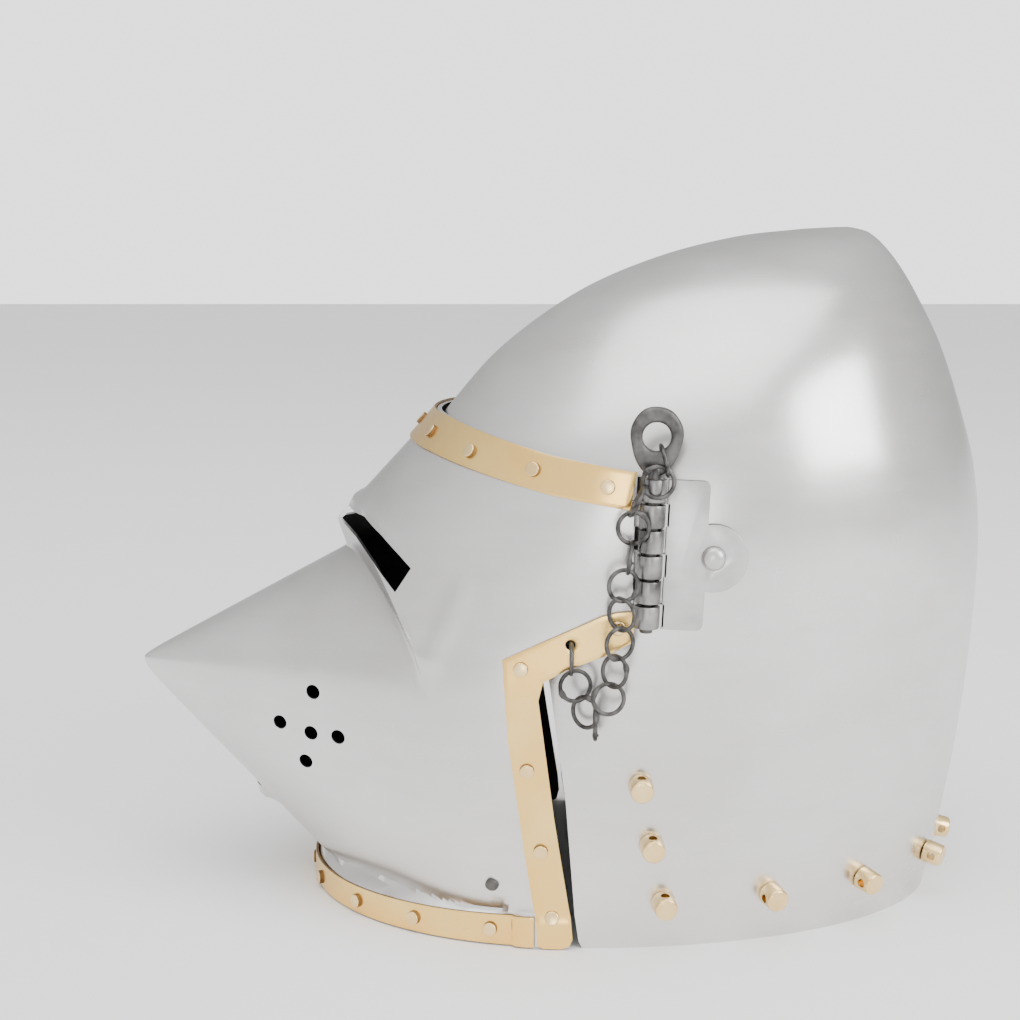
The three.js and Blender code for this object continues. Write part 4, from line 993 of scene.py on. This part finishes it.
for n in range(1, LOWEST_RING):
    hang_from(n - 1, n)
for n in range(len(CHAIN) - 2, LOWEST_RING, -1):
    hang_from(n + 1, n)
for side_name, hand in SIDES:
    rings = []
    for index in range(len(CHAIN)):
        facing, across, up = ring_axes(index)
        bpy.ops.object.select_all(action="DESELECT")
        bpy.ops.mesh.primitive_torus_add(
            major_segments=44, minor_segments=12, major_radius=1, minor_radius=RING_TUBE,
        )
        ring = bpy.context.object
        lap_at = LAP_TURN * index
        spots = []
        for vertex in ring.data.vertices:
            x, y, z = vertex.co
            t = math.atan2(y, x)
            out_share, side_share = (math.hypot(x, y) - 1) / RING_TUBE, z / RING_TUBE
            off = abs((t - lap_at + math.pi) % (2 * math.pi) - math.pi)
            lap = math.exp(-((off / LAP_HALF) ** 4))
            r = RING_RADIUS + RING_WIRE * out_share * (1 + LAP_WIDE * lap)
            h = RING_WIRE * side_share * (1 + LAP_THICK * lap)
            spots.append(ring_spots[index] + across * r * math.cos(t) + up * r * math.sin(t) + facing * h)
        set_points(ring, spots)
        face_outward()
        rings.append(ring)
        stud = dome("ring_rivet", STUD_RADIUS, STUD_RISE)
        spot = ring_spots[index] + RING_RADIUS * (across * math.cos(lap_at) + up * math.sin(lap_at))
        stand_on(stud, spot + facing * RING_WIRE * STUD_OFF, facing)
        rings.append(stud)
    chain = rings[0]
    join(chain, rings[1:])
    chain.name = chain.data.name = f"ring_chain_{side_name}"
    if hand < 0:
        chain.data.transform(Matrix.Scale(-1, 4, Vector((1, 0, 0))))
        chain.data.flip_normals()
    smooth(chain, 60)
    chain.data.materials.clear()
    chain.data.materials.append(ring_iron)
    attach(chain, "visor")
    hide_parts(f"chain_{side_name}")

# Studio: a pale floor and broad soft lights round the helmet, in a bright white room.
# The camera stands at the wearer's left, a little above the helmet's middle and tipped down.
CAMERA_AT = (0.800, -0.021, 0.283)
CAMERA_PITCH = 8.5
SENSOR_WIDE, PICTURE_WIDE, FOCAL_PIXELS = 36, 1020, 1830
CAMERA_LENS = SENSOR_WIDE * FOCAL_PIXELS / PICTURE_WIDE
FLOOR_SIZE = 14
bpy.ops.object.select_all(action="DESELECT")
bpy.ops.mesh.primitive_plane_add(size=FLOOR_SIZE)
floor = bpy.context.object
floor.name = "pale_floor"
paper = bpy.data.materials.new("pale_paper")
paper.use_nodes = True
paper_shader = paper.node_tree.nodes["Principled BSDF"]
paper_shader.inputs["Roughness"].default_value = 0.9
paper_nodes, paper_links = paper.node_tree.nodes, paper.node_tree.links
paper_where = paper_nodes.new("ShaderNodeTexCoord")
paper_noise = paper_nodes.new("ShaderNodeTexNoise")
paper_noise.inputs["Scale"].default_value = 3.0
paper_ramp = paper_nodes.new("ShaderNodeValToRGB")
paper_ramp.color_ramp.elements[0].color = (0.93, 0.93, 0.93, 1)
paper_ramp.color_ramp.elements[1].color = (0.96, 0.96, 0.96, 1)
paper_links.new(paper_where.outputs["Object"], paper_noise.inputs["Vector"])
paper_links.new(paper_noise.outputs["Fac"], paper_ramp.inputs["Fac"])
paper_links.new(paper_ramp.outputs["Color"], paper_shader.inputs["Base Color"])
floor.data.materials.append(paper)
room = bpy.data.worlds.new("white_room")
bpy.context.scene.world = room
room.use_nodes = True
BACKDROP_LIGHT, ROOM_LIGHT, ROOM_FRONT, ROOM_TOP = 2.2, 1.05, 0.50, 0.22
room_nodes, room_links = room.node_tree.nodes, room.node_tree.links
room_walls = room_nodes["Background"]
room_walls.inputs["Color"].default_value = (1, 1, 1, 1)
backdrop = room_nodes.new("ShaderNodeBackground")
backdrop.inputs["Color"].default_value = (1, 1, 1, 1)
backdrop.inputs["Strength"].default_value = BACKDROP_LIGHT
room_way = room_nodes.new("ShaderNodeTexCoord")
room_axes = room_nodes.new("ShaderNodeSeparateXYZ")
room_links.new(room_way.outputs["Generated"], room_axes.inputs["Vector"])
front_share = room_nodes.new("ShaderNodeMath")
front_share.operation = "MULTIPLY_ADD"
front_share.inputs[1].default_value = ROOM_FRONT
front_share.inputs[2].default_value = ROOM_LIGHT
room_links.new(room_axes.outputs["X"], front_share.inputs[0])
top_share = room_nodes.new("ShaderNodeMath")
top_share.operation = "MULTIPLY_ADD"
top_share.inputs[1].default_value = ROOM_TOP
room_links.new(room_axes.outputs["Z"], top_share.inputs[0])
room_links.new(front_share.outputs[0], top_share.inputs[2])
room_links.new(top_share.outputs[0], room_walls.inputs["Strength"])
seen = room_nodes.new("ShaderNodeLightPath")
either = room_nodes.new("ShaderNodeMixShader")
room_links.new(seen.outputs["Is Camera Ray"], either.inputs["Fac"])
room_links.new(room_walls.outputs["Background"], either.inputs[1])
room_links.new(backdrop.outputs["Background"], either.inputs[2])
room_links.new(either.outputs["Shader"], room_nodes["World Output"].inputs["Surface"])
LIGHTS = [
    ("side_light", (0.75, 0.98, 0.70), (0.08, 0.10, 0.19), 0.75, 0.75, 11.0),
    ("ear_light", (1.6, -0.06, 0.20), (0.10, 0.02, 0.165), 0.35, 0.45, 2.2),
    ("top_light", (0.5, -0.2, 2.4), (0.0, 0.0, 0.1), 2.6, 2.6, 42.0),
]
for name, place, aim, wide, tall, power in LIGHTS:
    lamp = bpy.data.lights.new(name, "AREA")
    lamp.shape = "RECTANGLE"
    lamp.size, lamp.size_y = wide, tall
    lamp.energy = power
    stand = bpy.data.objects.new(name, lamp)
    bpy.context.scene.collection.objects.link(stand)
    stand.location = place
    stand.rotation_euler = (Vector(aim) - Vector(place)).to_track_quat("-Z", "Y").to_euler()
camera_data = bpy.data.cameras.new("camera")
camera_data.lens = CAMERA_LENS
camera_data.sensor_width = SENSOR_WIDE
camera = bpy.data.objects.new("camera", camera_data)
bpy.context.scene.collection.objects.link(camera)
camera.location = CAMERA_AT
camera.rotation_euler = (math.radians(90 - CAMERA_PITCH), 0, math.radians(90))
bpy.context.scene.camera = camera
